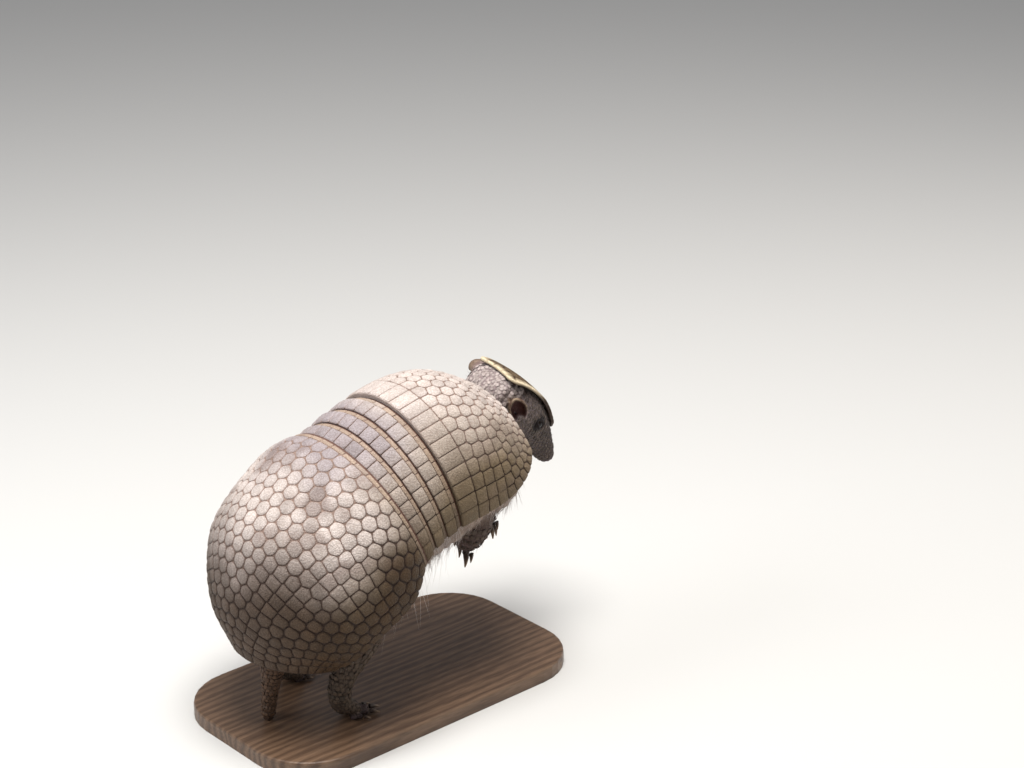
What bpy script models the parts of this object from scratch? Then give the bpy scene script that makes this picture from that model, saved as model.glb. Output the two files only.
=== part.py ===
"""A southern three-banded armadillo, life size, standing on its hind feet and tail tip on a flat
base, with its forepaws held up in front as on a low rail. It is a still model with no joints.

Lengths are millimetres in the body's own frame: x runs forward, y to its left, z up, and the tail
tip stands on the base's top at the origin. place() moves a point to the part's frame, whose origin
is the centre of the base's underside, and turns it into metres.
"""

import math

import bmesh
import bpy
import numpy as np
from mathutils import Matrix, Vector

MM = 0.001
GAP = 0.35  # clearance between neighbouring pieces
RIGHT, LEFT = -1, 1

# The base.
STAND_LENGTH, STAND_WIDTH, STAND_THICKNESS = 204.0, 116.0, 8.0
STAND_CORNER, STAND_EDGE = 34.0, 1.2
STAND_CENTRE_X = 78.0
ORIGIN_SHIFT = Vector((-STAND_CENTRE_X, 0.0, STAND_THICKNESS))

# The carapace is a row of arched rings. Each row holds the share of its length from the neck to
# the tail, the ring's top point (x, z), its lean in degrees, half width and height.
CARAPACE = (
    (0.00, 158.3, 147.1, -4.9, 48.2, 45.8),
    (0.15, 118.9, 163.8, 4.1, 51.2, 53.6),
    (0.30, 78.4, 161.8, 14.1, 50.4, 56.8),
    (0.50, 44.1, 147.8, 21.4, 54.2, 57.1),
    (0.65, 20.2, 134.6, 28.8, 58.9, 57.6),
    (0.80, -12.9, 105.2, 42.2, 55.7, 52.7),
    (0.92, -21.1, 65.9, 60.6, 43.9, 42.1),
    (1.00, -12.2, 39.6, 81.3, 32.9, 31.0),
)
# How far each ring wraps round from the top, in degrees; its front corners are rounded.
WRAP = (
    (0.00, 60.0),
    (0.025, 70.0),
    (0.062, 80.0),
    (0.115, 90.0),
    (0.15, 94.8),
    (0.30, 98.4),
    (0.50, 96.2),
    (0.65, 108.5),
    (0.80, 111.3),
    (0.92, 100.9),
    (1.00, 92.4),
)
LOWER_SHARE = 0.8  # a ring's depth below its widest line, as a share of its height above it
PLATE = 3.0  # thickness of the shell
NECK_NOTCH = 0.045  # how far the front edge is set back over the neck
BAND_ENDS = (0.300, 0.366, 0.433, 0.500)
BAND_NAMES = ("band_front", "band_middle", "band_rear")
# How far a piece stands out from the rings along its back, as (share of the piece, rise). The
# bands lie lower than the two shields.
SCAPULAR_RISE = ((0.0, 0.0), (0.45, 2.4), (0.85, 2.6), (1.0, 1.8))
BAND_RISE = ((0.0, 0.0), (0.5, 0.9), (1.0, 0.0))
PELVIC_RISE = ((0.0, 2.4), (0.1, 4.6), (0.3, 5.6), (0.55, 3.2), (0.8, 0.0), (1.0, 0.0))
RISE_SPREAD = 0.8  # a rise fades towards the sides as the cosine of this share of the angle
JOINT_GAP = 0.0035  # half of the gap between shell pieces, as a share of the length
SHELL_SIDES = 22  # facets across a shield

# The trunk follows the carapace's rings from inside.
TRUNK_INSET = 5.0
BELLY = (
    (0.00, 26.0),
    (0.15, 33.0),
    (0.30, 38.0),
    (0.50, 33.5),
    (0.65, 29.5),
    (0.80, 24.0),
    (0.92, 18.0),
    (1.00, 13.0),
)

# The head's frame: its origin is midway between the ears.
HEAD_ORIGIN = Vector((167.0, 8.0, 139.1))
HEAD_PITCH, HEAD_ROLL = 48.0, 9.8  # nose down, then tilted towards the right side
HEAD = (  # forward, half width, top, bottom
    (-13.0, 8.0, 4.0, -5.0),
    (-11.0, 13.0, 8.8, -9.5),
    (-6.0, 16.4, 12.4, -12.5),
    (2.0, 17.0, 15.0, -13.5),
    (12.0, 17.2, 16.1, -13.8),
    (22.0, 15.6, 16.1, -13.2),
    (32.0, 12.6, 14.7, -11.8),
    (42.0, 9.4, 12.1, -10.2),
    (51.0, 7.2, 8.9, -9.0),
    (59.0, 6.0, 4.8, -7.9),
    (64.0, 5.3, 1.6, -7.0),
    (66.8, 3.4, -1.0, -5.4),
)
HEAD_SHIELD = (  # forward, half width
    (-11.0, 13.5),
    (-9.5, 16.2),
    (-4.0, 18.0),
    (6.0, 18.2),
    (16.0, 16.0),
    (26.0, 12.6),
    (36.0, 9.4),
    (44.0, 6.6),
    (48.0, 3.6),
)
SHIELD_PLATE = 1.9
SHIELD_LIFT = 0.5
SHIELD_DOME = 0.07
EYE = (29.5, 11.7, 5.4)
EYE_RADIUS = 3.2
EAR_LENGTH, EAR_RADIUS, EAR_WALL = 19.0, 6.0, 1.3
# Each ear's base, its lie and the way its mouth faces: forward, outward, up. The right ear is
# laid back along the neck and the left one stands out sideways.
EARS = {
    "right": ((10.5, 20.0, -1.0), (-0.93, 0.22, 0.24), (-0.30, 0.93, -0.22)),
    "left": ((-1.5, 13.5, 7.0), (0.24, 0.97, 0.0), (0.60, 0.10, -0.50)),
}

SOLE = 0.3  # height of the soles and the tail tip over the base


def hermite(table, t):
    """The table's columns at t, on a smooth curve through its rows."""
    table = np.array(table)
    knots, values = table[:, 0], table[:, 1:]
    slopes = np.gradient(values, knots, axis=0)
    t = min(max(t, knots[0]), knots[-1])
    i = min(int(np.searchsorted(knots, t, side="right")) - 1, len(knots) - 2)
    step = knots[i + 1] - knots[i]
    u = (t - knots[i]) / step
    columns = (
        (1 + 2 * u) * (1 - u) ** 2 * values[i]
        + u * (1 - u) ** 2 * step * slopes[i]
        + u * u * (3 - 2 * u) * values[i + 1]
        + u * u * (u - 1) * step * slopes[i + 1]
    )
    return columns.tolist()


def place(point):
    return (Vector(point) + ORIGIN_SHIFT) * MM


def material(name, colour, roughness):
    made = bpy.data.materials.new(name)
    made.use_nodes = True
    shader = made.node_tree.nodes["Principled BSDF"]
    shader.inputs["Base Color"].default_value = (*colour, 1.0)
    shader.inputs["Roughness"].default_value = roughness
    return made


def add_object(name, bm, finish, collection):
    mesh = bpy.data.meshes.new(name)
    bm.to_mesh(mesh)
    bm.free()
    mesh.materials.append(finish)
    mesh.shade_smooth()
    mesh.set_sharp_from_angle(angle=math.radians(40))
    made = bpy.data.objects.new(name, mesh)
    collection.objects.link(made)
    return made


def add_cutter(name, bm, cutters):
    made = add_object(name, bm, cutters["finish"], cutters["collection"])
    made.hide_render = True
    made.display_type = "WIRE"
    return made


def boolean(target, other, operation="DIFFERENCE"):
    cut = target.modifiers.new(f"{operation.lower()}_{other.name}", "BOOLEAN")
    cut.operation = operation
    cut.object = other
    cut.solver = "EXACT"


def loft(rings):
    """A closed mesh over rings of equally many points, capped at both ends."""
    bm = bmesh.new()
    loops = [[bm.verts.new(place(point)) for point in ring] for ring in rings]
    for near, far in zip(loops, loops[1:]):
        for i in range(len(near)):
            j = (i + 1) % len(near)
            bm.faces.new((near[i], near[j], far[j], far[i]))
    bm.faces.new(loops[0])
    bm.faces.new(loops[-1])
    bmesh.ops.recalc_face_normals(bm, faces=bm.faces)
    return bm


def tube_rings(stations, segments, across=(0.0, 1.0, 0.0)):
    """Rings along a path. A station is (x, y, z, half width, half depth); the width lies along
    the direction across, and each ring stands square to the path."""
    points = [Vector(station[:3]) for station in stations]
    rings = []
    for i, (centre, station) in enumerate(zip(points, stations)):
        ahead = points[min(i + 1, len(points) - 1)]
        behind = points[max(i - 1, 0)]
        along = (ahead - behind).normalized()
        side = (Vector(across) - Vector(across).dot(along) * along).normalized()
        deep = along.cross(side)
        ring = []
        for k in range(segments):
            angle = math.tau * k / segments
            ring.append(
                centre
                + station[3] * math.cos(angle) * side
                + station[4] * math.sin(angle) * deep
            )
        rings.append(ring)
    return rings


# ---------------------------------------------------------------------------------- the shell


def ring_frame(t):
    """The centre, upward direction, half width and height of the carapace's ring at t."""
    x, z, lean, half_width, height = hermite(CARAPACE, t)
    lean = math.radians(lean)
    up = Vector((-math.sin(lean), 0.0, math.cos(lean)))
    return Vector((x, 0.0, z)) - height * up, up, half_width, height


def shell_point(t, angle, rise=0.0):
    centre, up, half_width, height = ring_frame(t)
    depth = height if math.cos(angle) > 0 else LOWER_SHARE * height
    return (
        centre
        + (depth + rise) * math.cos(angle) * up
        - Vector((0.0, (half_width + rise) * math.sin(angle), 0.0))
    )


def shell_piece(name, start, end, steps, rises, notch, finish, collection):
    """One shield or band between two shares of the carapace's length, as a plate."""
    bm = bmesh.new()
    bmesh.ops.create_grid(bm, x_segments=steps, y_segments=SHELL_SIDES, size=0.5)
    for vert in bm.verts:
        share, side = vert.co.x + 0.5, 2 * vert.co.y
        t = start + share * (end - start)
        angle = side * math.radians(hermite(WRAP, t)[0])
        t += notch * (1 - share) ** 2 * math.cos(angle)
        rise = hermite(rises, share)[0] * math.cos(RISE_SPREAD * angle)
        vert.co = place(shell_point(t, angle, rise))
    made = add_object(name, bm, finish, collection)
    plate = made.modifiers.new("plate", "SOLIDIFY")
    plate.thickness = PLATE * MM
    plate.offset = -1
    plate.use_even_offset = True
    return made


def make_shell(finish, collection):
    pieces = [("scapular_shield", 0.0, BAND_ENDS[0] - JOINT_GAP, 8, SCAPULAR_RISE, NECK_NOTCH)]
    for name, start, end in zip(BAND_NAMES, BAND_ENDS, BAND_ENDS[1:]):
        pieces.append((name, start + JOINT_GAP, end - JOINT_GAP, 3, BAND_RISE, 0.0))
    pieces.append(("pelvic_shield", BAND_ENDS[-1] + JOINT_GAP, 1.0, 14, PELVIC_RISE, 0.0))
    for piece in pieces:
        shell_piece(*piece, finish, collection)


# ---------------------------------------------------------------------------------- the flesh


def trunk_rings(grow=0.0, segments=22):
    """The trunk's rings; the ends are rounded off by shrinking rings just past them."""
    ends = ((12.0, 0.22), (10.0, 0.42), (6.0, 0.62), (1.5, 0.76))  # past the end, size
    stations = [(0.03, past, size) for past, size in ends]
    stations += [(0.06, 0.0, 0.86), (0.11, 0.0, 0.95)]
    stations += [(t, 0.0, 1.0) for t in np.linspace(0.17, 0.90, 9)]
    stations += [(0.945, 0.0, 0.94), (0.98, 0.0, 0.82)]
    stations += [(1.0, past, size) for past, size in ((0.5, 0.66), (2.5, 0.45), (3.5, 0.22))]
    rings = []
    for t, past, size in stations:
        centre, up, half_width, height = ring_frame(t)
        onward = Vector((up.z, 0.0, -up.x)) * (1 if t < 0.5 else -1)
        centre = centre + onward * (past + (grow if past else 0.0))
        belly = hermite(BELLY, t)[0]
        ring = []
        for k in range(segments):
            angle = math.tau * k / segments
            depth = height - TRUNK_INSET if math.cos(angle) > 0 else belly
            ring.append(
                centre
                + (depth * size + grow) * math.cos(angle) * up
                - Vector((0.0, ((half_width - TRUNK_INSET) * size + grow) * math.sin(angle), 0.0))
            )
        rings.append(ring)
    return rings


def head_matrix():
    pitch, roll = math.radians(HEAD_PITCH), math.radians(HEAD_ROLL)
    turn = Matrix.Rotation(pitch, 4, "Y") @ Matrix.Rotation(roll, 4, "X")
    return Matrix.Translation(HEAD_ORIGIN) @ turn


def head_point(forward, outward, upward):
    return head_matrix() @ Vector((forward, outward, upward))


def head_direction(forward, outward, upward):
    return (head_matrix().to_3x3() @ Vector((forward, outward, upward))).normalized()


def head_rings(grow=0.0, segments=20):
    rings = []
    last = len(HEAD) - 1
    for i, (forward, half_width, top, bottom) in enumerate(HEAD):
        forward += grow * ((i == last) - (i == 0))
        middle, half_height = (top + bottom) / 2, (top - bottom) / 2
        ring = []
        for k in range(segments):
            angle = math.tau * k / segments
            above = math.sin(angle) > 0
            across = abs(math.cos(angle)) ** (0.6 if above else 0.9)
            across = math.copysign(across, math.cos(angle))
            rise = abs(math.sin(angle)) ** 0.4 if above else math.sin(angle)
            ring.append(
                head_point(
                    forward,
                    (half_width + grow) * across,
                    middle + (half_height + grow) * rise,
                )
            )
        rings.append(ring)
    return rings


def head_top(forward, outward):
    """Height of the nearly flat plate on the head, which goes on straight behind the skull."""
    _, top, _ = hermite(HEAD, max(forward, -4.0))
    top += 0.45 * min(forward + 4.0, 0.0)
    return top - SHIELD_DOME * outward**2 / hermite(HEAD_SHIELD, forward)[0]


def make_head_shield(finish, collection):
    """The plate on the head: as wide as the skull behind, narrow and blunt on the snout."""
    bm = bmesh.new()
    bmesh.ops.create_grid(bm, x_segments=12, y_segments=10, size=0.5)
    start, end = HEAD_SHIELD[0][0], HEAD_SHIELD[-1][0]
    for vert in bm.verts:
        forward = start + (vert.co.x + 0.5) * (end - start)
        outward = 2 * vert.co.y * hermite(HEAD_SHIELD, forward)[0]
        upward = head_top(forward, outward) + SHIELD_LIFT
        vert.co = place(head_point(forward, outward, upward))
    made = add_object("head_shield", bm, finish, collection)
    plate = made.modifiers.new("plate", "SOLIDIFY")
    plate.thickness = SHIELD_PLATE * MM
    plate.offset = 1
    plate.use_even_offset = True


def make_ear(word, side, finish, collection):
    """A scoop-shaped ear that stands out below the head shield's rear corner."""
    base, lie, facing = EARS[word]
    along = head_direction(lie[0], side * lie[1], lie[2])
    mouth = head_direction(facing[0], side * facing[1], facing[2])
    mouth = (mouth - mouth.dot(along) * along).normalized()
    across = along.cross(mouth)
    base = head_point(base[0], side * base[1], base[2])
    opening = math.radians(100)
    widths = ((0.0, 0.60), (0.25, 0.92), (0.5, 1.0), (0.75, 0.86), (0.92, 0.52), (1.0, 0.28))
    bm = bmesh.new()
    bmesh.ops.create_grid(bm, x_segments=8, y_segments=8, size=0.5)
    for vert in bm.verts:
        share, angle = vert.co.x + 0.5, 2 * vert.co.y * opening
        radius = EAR_RADIUS * hermite(widths, share)[0]
        vert.co = place(
            base
            + EAR_LENGTH * share * along
            + radius * math.sin(angle) * across
            - radius * math.cos(angle) * mouth
        )
    made = add_object(f"ear_{word}", bm, finish, collection)
    wall = made.modifiers.new("wall", "SOLIDIFY")
    wall.thickness = EAR_WALL * MM
    wall.offset = 0
    return made


def sphere(centre, radius, segments=12, rings=8):
    bm = bmesh.new()
    bmesh.ops.create_uvsphere(
        bm,
        u_segments=segments,
        v_segments=rings,
        radius=radius * MM,
        matrix=Matrix.Translation(place(centre)),
    )
    return bm


# Each limb is mirrored by its side; y is measured outward. The forelegs reach unequally far.
HIND_LEG = (
    (47.0, 25.0, 60.0, 15.0, 17.0),
    (42.0, 28.0, 48.0, 11.5, 13.5),
    (35.5, 28.2, 37.0, 8.6, 10.0),
    (30.5, 27.2, 27.0, 6.8, 7.6),
    (28.0, 26.2, 17.0, 6.3, 6.6),
    (29.5, 25.6, 9.5, 6.4, 5.6),
    (34.5, 25.2, 5.9, 7.2, 4.6),
    (39.5, 25.2, 4.6, 7.4, 3.6),
)
HIND_SOLE = 0.45  # height of the ball of the foot over the soles of the toes
FOOT_Y, FOOT_TOE_OUT = 25.2, 12.0  # the foot's middle line, and its turn outwards in degrees
FOOT_PIVOT_X = 30.0
HIND_TOES = (  # place across the foot, forward reach, half width, claw length
    (-7.0, 39.0, 1.5, 4.0),
    (-3.7, 43.5, 1.9, 5.5),
    (0.0, 45.5, 2.1, 6.5),
    (3.7, 44.0, 1.9, 5.5),
    (7.0, 39.0, 1.5, 4.0),
)
FORE_LEGS = {
    "right": (
        (122.0, 26.0, 98.0, 13.0, 14.0),
        (119.0, 30.0, 87.0, 10.0, 11.0),
        (118.0, 28.0, 79.5, 7.8, 8.6),
        (122.0, 20.5, 75.0, 6.4, 6.8),
        (128.0, 12.0, 71.5, 5.6, 5.6),
        (132.5, 6.0, 67.5, 6.4, 5.0),
        (134.5, 3.0, 62.5, 7.0, 4.2),
    ),
    "left": (
        (127.0, 24.0, 96.0, 14.0, 15.0),
        (127.0, 31.0, 84.0, 11.0, 12.0),
        (133.0, 31.0, 76.0, 8.6, 9.4),
        (146.0, 25.0, 71.0, 7.2, 7.4),
        (157.0, 20.5, 70.5, 6.4, 6.2),
        (164.5, 17.2, 67.5, 7.0, 5.4),
        (168.8, 15.4, 62.0, 7.2, 4.4),
    ),
}
FORE_TOES = (  # place across the paw, toe length, half width, claw length
    (-6.6, 3.0, 1.6, 5.0),
    (-2.9, 4.2, 2.0, 8.5),
    (1.8, 4.6, 2.6, 11.0),
    (6.2, 3.2, 1.7, 6.0),
)


def mirrored(stations, side):
    return [(x, side * y, *sizes) for x, y, *sizes in stations]


def claw_rings(root, along, bend, length, half_width, half_depth, segments=6):
    """A claw that narrows and curves towards bend, starting just off the toe."""
    across = along.cross(bend).normalized()
    rings = []
    for share in (0.0, 0.3, 0.6, 0.85, 1.0):
        taper = (1 - share) ** 0.7 * 0.92 + 0.08
        centre = root + along * length * share + bend * length * 0.22 * share**2
        rings.append(
            [
                centre
                + half_width * taper * math.cos(math.tau * k / segments) * across
                + half_depth * taper * math.sin(math.tau * k / segments) * bend
                for k in range(segments)
            ]
        )
    return rings


def foot_point(forward, across, height, side):
    """A point of the hind foot, which turns outwards about its pivot."""
    turn = math.radians(FOOT_TOE_OUT)
    x, y = forward - FOOT_PIVOT_X, across
    return Vector(
        (
            FOOT_PIVOT_X + x * math.cos(turn) - y * math.sin(turn),
            side * (FOOT_Y + x * math.sin(turn) + y * math.cos(turn)),
            height,
        )
    )


def make_hind_leg(word, side, finishes, cutters, collection):
    rings = tube_rings(mirrored(HIND_LEG, side), 12)
    for point in (point for ring in rings for point in ring):
        point.z = max(point.z, SOLE + HIND_SOLE)
    leg = add_object(f"hindleg_{word}", loft(rings), finishes["skin"], collection)
    for number, (across, reach, half_width, claw) in enumerate(HIND_TOES, 1):
        height = half_width + SOLE
        toe = [
            foot_point(reach - back, across * (0.75 if back else 1.0), height, side)
            for back in (6.5, 2.5, 0.0)
        ]
        sizes = (half_width * 0.9, half_width, half_width * 0.86)
        stations = [(*point, size, size) for point, size in zip(toe, sizes)]
        shape = loft(tube_rings(stations, 8))
        boolean(leg, add_cutter(f"hind_toe_{word}_{number}", shape, cutters), "UNION")
        along = (toe[2] - toe[1]).normalized()
        root = toe[2] + along * GAP
        shape = loft(
            claw_rings(root, along, Vector((0, 0, -1)), claw, half_width * 0.76, half_width * 0.74)
        )
        add_object(f"hind_claw_{word}_{number}", shape, finishes["claw"], collection)
    boolean(leg, cutters["trunk"])


def make_fore_leg(word, side, finishes, cutters, collection):
    stations = mirrored(FORE_LEGS[word], side)
    leg = add_object(
        f"foreleg_{word}", loft(tube_rings(stations, 12)), finishes["skin"], collection
    )
    wrist, palm = Vector(stations[-2][:3]), Vector(stations[-1][:3])
    along = (palm - wrist).normalized()
    across = Vector((0, 1, 0))
    across = (across - across.dot(along) * along).normalized()
    down = Vector((0.25, 0.0, -1.0)).normalized()
    for number, (offset, length, half_width, claw) in enumerate(FORE_TOES, 1):
        start = palm + across * offset * side * 0.8 - along * 2.5
        middle = palm + across * offset * side + along * length * 0.5
        end = middle + (along * 0.35 + down).normalized() * length * 0.8
        stations = [
            (*point, size, size)
            for point, size in zip((start, middle, end), (half_width, half_width, half_width * 0.9))
        ]
        shape = loft(tube_rings(stations, 8))
        boolean(leg, add_cutter(f"fore_toe_{word}_{number}", shape, cutters), "UNION")
        heading = (end - middle).normalized()
        bend = Vector((-1.0, 0.0, 0.0))
        bend = (bend - bend.dot(heading) * heading).normalized()
        shape = loft(
            claw_rings(
                end + heading * GAP, heading, bend, claw, half_width * 0.78, half_width * 0.95
            )
        )
        add_object(f"fore_claw_{word}_{number}", shape, finishes["claw"], collection)
    boolean(leg, cutters["trunk"])


TAIL = (  # x, y, z, half width, half depth
    (14.0, 0.0, 52.0, 12.5, 11.0),
    (8.5, 0.0, 42.0, 10.0, 9.2),
    (5.0, 0.0, 32.0, 7.6, 7.2),
    (3.0, 0.0, 22.0, 5.6, 5.5),
    (1.4, 0.0, 12.0, 4.4, 4.3),
    (0.3, 0.0, 4.0, 3.8, 3.8),
    (0.0, 0.0, SOLE, 3.0, 3.0),
)
NECK = (
    (136.0, 1.0, 108.0, 29.0, 27.0),
    (148.0, 4.0, 119.0, 23.0, 19.0),
    (157.0, 6.5, 127.5, 18.5, 14.5),
    (164.0, 8.0, 133.5, 15.0, 12.5),
    (170.0, 8.5, 137.0, 12.0, 11.5),
)


def make_flesh(finishes, cutters, collection):
    skin = finishes["skin"]
    cutters["trunk"] = add_cutter("trunk_clearance", loft(trunk_rings(GAP)), cutters)
    cutters["head"] = add_cutter("head_clearance", loft(head_rings(GAP)), cutters)
    wide_neck = [(*station[:3], station[3] + GAP, station[4] + GAP) for station in NECK]
    cutters["neck"] = add_cutter("neck_clearance", loft(tube_rings(wide_neck, 14)), cutters)
    add_object("trunk", loft(trunk_rings()), skin, collection)
    head = add_object("head", loft(head_rings()), skin, collection)
    neck = add_object("neck", loft(tube_rings(NECK, 14)), skin, collection)
    boolean(neck, cutters["trunk"])
    boolean(neck, cutters["head"])
    tail = add_object("tail", loft(tube_rings(TAIL, 12)), skin, collection)
    boolean(tail, cutters["trunk"])
    for word, side in (("right", RIGHT), ("left", LEFT)):
        eye = head_point(EYE[0], side * EYE[1], EYE[2])
        add_object(f"eye_{word}", sphere(eye, EYE_RADIUS), finishes["eye"], collection)
        socket = add_cutter(f"socket_{word}", sphere(eye, EYE_RADIUS + GAP), cutters)
        boolean(head, socket)
        ear = make_ear(word, side, skin, collection)
        boolean(ear, cutters["head"])
        boolean(ear, cutters["neck"])
        make_hind_leg(word, side, finishes, cutters, collection)
        make_fore_leg(word, side, finishes, cutters, collection)


def make_stand(finish, collection):
    bm = bmesh.new()
    size = Matrix.Diagonal((STAND_LENGTH * MM, STAND_WIDTH * MM, STAND_THICKNESS * MM, 1.0))
    lift = Matrix.Translation((0.0, 0.0, STAND_THICKNESS / 2 * MM))
    bmesh.ops.create_cube(bm, size=1.0, matrix=lift @ size)
    upright = [e for e in bm.edges if abs(e.verts[0].co.z - e.verts[1].co.z) > MM]
    bmesh.ops.bevel(
        bm, geom=upright, offset=STAND_CORNER * MM, segments=8, profile=0.5, affect="EDGES"
    )
    top = [e for e in bm.edges if all(v.co.z > (STAND_THICKNESS - 0.1) * MM for v in e.verts)]
    bmesh.ops.bevel(bm, geom=top, offset=STAND_EDGE * MM, segments=2, profile=0.5, affect="EDGES")
    add_object("stand_base", bm, finish, collection)


def main():
    for old in list(bpy.data.objects):
        bpy.data.objects.remove(old)
    armadillo = bpy.data.collections.new("three_banded_armadillo")
    helpers = bpy.data.collections.new("cutters")
    for collection in (armadillo, helpers):
        bpy.context.scene.collection.children.link(collection)
    finishes = {
        "shell": material("shell", (0.42, 0.32, 0.22), 0.62),
        "skin": material("skin", (0.16, 0.12, 0.11), 0.75),
        "claw": material("claw", (0.10, 0.075, 0.06), 0.45),
        "eye": material("eye", (0.01, 0.008, 0.008), 0.08),
        "stand": material("stand", (0.07, 0.045, 0.03), 0.5),
    }
    cutters = {"finish": finishes["skin"], "collection": helpers}
    make_shell(finishes["shell"], armadillo)
    make_head_shield(finishes["shell"], armadillo)
    make_flesh(finishes, cutters, armadillo)
    make_stand(finishes["stand"], armadillo)


main()
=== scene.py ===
"""The looks of a southern three-banded armadillo, life size, standing on its display base.

Lengths in the tables are millimetres in the body's own frame, as in the part's source: x runs
forward, y to its left, z up, and the tail tip stands on the base's top at the origin. place()
moves a point to the part's frame and turns it into metres. A surface is a function of two
numbers, such as the share of a plate's length and the side, and everything on it follows it.
"""

import math
from itertools import product

import bmesh
import bpy
import numpy as np
from mathutils import Matrix, Vector, noise
from mathutils.bvhtree import BVHTree
from mathutils.kdtree import KDTree


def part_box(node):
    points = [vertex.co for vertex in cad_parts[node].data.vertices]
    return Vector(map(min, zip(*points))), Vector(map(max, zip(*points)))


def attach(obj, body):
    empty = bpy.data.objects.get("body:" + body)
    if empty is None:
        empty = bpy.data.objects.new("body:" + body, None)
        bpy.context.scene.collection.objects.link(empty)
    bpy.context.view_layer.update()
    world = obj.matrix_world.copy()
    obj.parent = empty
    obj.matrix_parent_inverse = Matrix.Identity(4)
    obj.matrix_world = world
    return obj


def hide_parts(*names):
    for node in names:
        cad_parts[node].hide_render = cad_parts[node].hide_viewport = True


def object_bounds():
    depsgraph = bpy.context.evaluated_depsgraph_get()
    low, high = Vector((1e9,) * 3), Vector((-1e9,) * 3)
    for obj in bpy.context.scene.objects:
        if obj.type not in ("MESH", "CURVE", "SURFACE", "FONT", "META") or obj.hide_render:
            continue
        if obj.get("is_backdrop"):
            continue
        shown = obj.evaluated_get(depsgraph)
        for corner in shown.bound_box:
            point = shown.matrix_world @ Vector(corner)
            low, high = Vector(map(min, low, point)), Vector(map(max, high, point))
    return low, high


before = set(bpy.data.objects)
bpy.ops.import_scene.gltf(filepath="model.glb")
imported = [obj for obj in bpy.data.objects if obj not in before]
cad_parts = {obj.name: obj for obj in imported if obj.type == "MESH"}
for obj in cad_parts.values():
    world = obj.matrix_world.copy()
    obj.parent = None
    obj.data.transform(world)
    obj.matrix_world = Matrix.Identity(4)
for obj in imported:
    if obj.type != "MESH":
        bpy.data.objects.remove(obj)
cad_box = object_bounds()

MM = 0.001
RIGHT, LEFT = -1, 1
SIDES = {"right": RIGHT, "left": LEFT}
SHIFT = np.array((-78.0, 0.0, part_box("stand_base")[1].z / MM))
RANDOM = np.random.default_rng(7)

# The carapace's rings: share of the length, top point (x, z), lean in degrees, half width, height.
CARAPACE = (
    (0.00, 158.3, 147.1, -4.9, 48.2, 45.8),
    (0.15, 118.9, 163.8, 4.1, 51.2, 53.6),
    (0.30, 78.4, 161.8, 14.1, 50.4, 56.8),
    (0.50, 44.1, 147.8, 21.4, 54.2, 57.1),
    (0.65, 20.2, 134.6, 28.8, 58.9, 57.6),
    (0.80, -12.9, 105.2, 42.2, 55.7, 52.7),
    (0.92, -21.1, 65.9, 60.6, 43.9, 42.1),
    (1.00, -12.2, 39.6, 81.3, 32.9, 31.0),
)
WRAP = (  # share of the length, how far down each side the shell reaches, in degrees
    (0.00, 60.0),
    (0.025, 70.0),
    (0.062, 80.0),
    (0.115, 90.0),
    (0.15, 94.8),
    (0.30, 98.4),
    (0.50, 96.2),
    (0.65, 108.5),
    (0.80, 111.3),
    (0.92, 100.9),
    (1.00, 92.4),
)
LOWER_SHARE = 0.8  # a ring's depth below its middle, as a share of its height above
NECK_NOTCH = 0.045  # how far back the front edge is cut at the middle line
BAND_ENDS = (0.300, 0.366, 0.433, 0.500)
JOINT_GAP = 0.0035  # half the gap between two plates, as a share of the length
RISE_SPREAD = 0.8
SCAPULAR_RISE = ((0.0, 0.0), (0.45, 2.4), (0.85, 2.6), (1.0, 1.8))
BAND_RISE = ((0.0, 0.0), (0.5, 0.9), (1.0, 0.0))
PELVIC_RISE = ((0.0, 2.4), (0.1, 4.6), (0.3, 5.6), (0.55, 3.2), (0.8, 0.0), (1.0, 0.0))

# The flesh. A path's station is x, y, z, half width and half depth; y is measured outward on a
# limb. A head's station is its place forward, half width, top and bottom in the head's frame.
HEAD_ORIGIN = Vector((167.0, 8.0, 139.1))
HEAD_PITCH, HEAD_ROLL = 48.0, 9.8
HEAD = (
    (-13.0, 8.0, 4.0, -5.0),
    (-11.0, 13.0, 8.8, -9.5),
    (-6.0, 16.4, 12.4, -12.5),
    (2.0, 17.0, 15.0, -13.5),
    (12.0, 17.2, 16.1, -13.8),
    (22.0, 15.6, 16.1, -13.2),
    (32.0, 12.6, 14.7, -11.8),
    (42.0, 9.4, 12.1, -10.2),
    (51.0, 7.2, 8.9, -9.0),
    (59.0, 6.0, 4.8, -7.9),
    (64.0, 5.3, 1.6, -7.0),
    (66.8, 3.4, -1.0, -5.4),
)
HEAD_START, HEAD_END = HEAD[0][0], HEAD[-1][0]
HEAD_SHIELD = (  # place forward, half width
    (-11.0, 13.5),
    (-9.5, 16.2),
    (-4.0, 18.0),
    (6.0, 18.2),
    (16.0, 16.0),
    (26.0, 12.6),
    (36.0, 9.4),
    (44.0, 6.6),
    (48.0, 3.6),
)
SHIELD_LIFT = 0.5
SHIELD_DOME = 0.07
SKULL_BACK, SKULL_BACK_SLOPE = -4.0, 0.45  # behind here the plate runs on straight, this steep
EYE, EYE_RADIUS = (29.5, 11.7, 5.4), 3.2
GAZE = (0.12, 1.0, 0.16)
EAR_LENGTH, EAR_RADIUS, EAR_WALL = 19.0, 6.0, 1.3
EARS = {  # each ear's base, its lie and the way its mouth faces: forward, outward, up
    "right": ((10.5, 20.0, -1.0), (-0.93, 0.22, 0.24), (-0.30, 0.93, -0.22)),
    "left": ((-1.5, 13.5, 7.0), (0.24, 0.97, 0.0), (0.60, 0.10, -0.50)),
}
EAR_WIDTHS = ((0.0, 0.60), (0.25, 0.92), (0.5, 1.0), (0.75, 0.86), (0.92, 0.52), (1.0, 0.28))
TRUNK_INSET = 5.0
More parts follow.
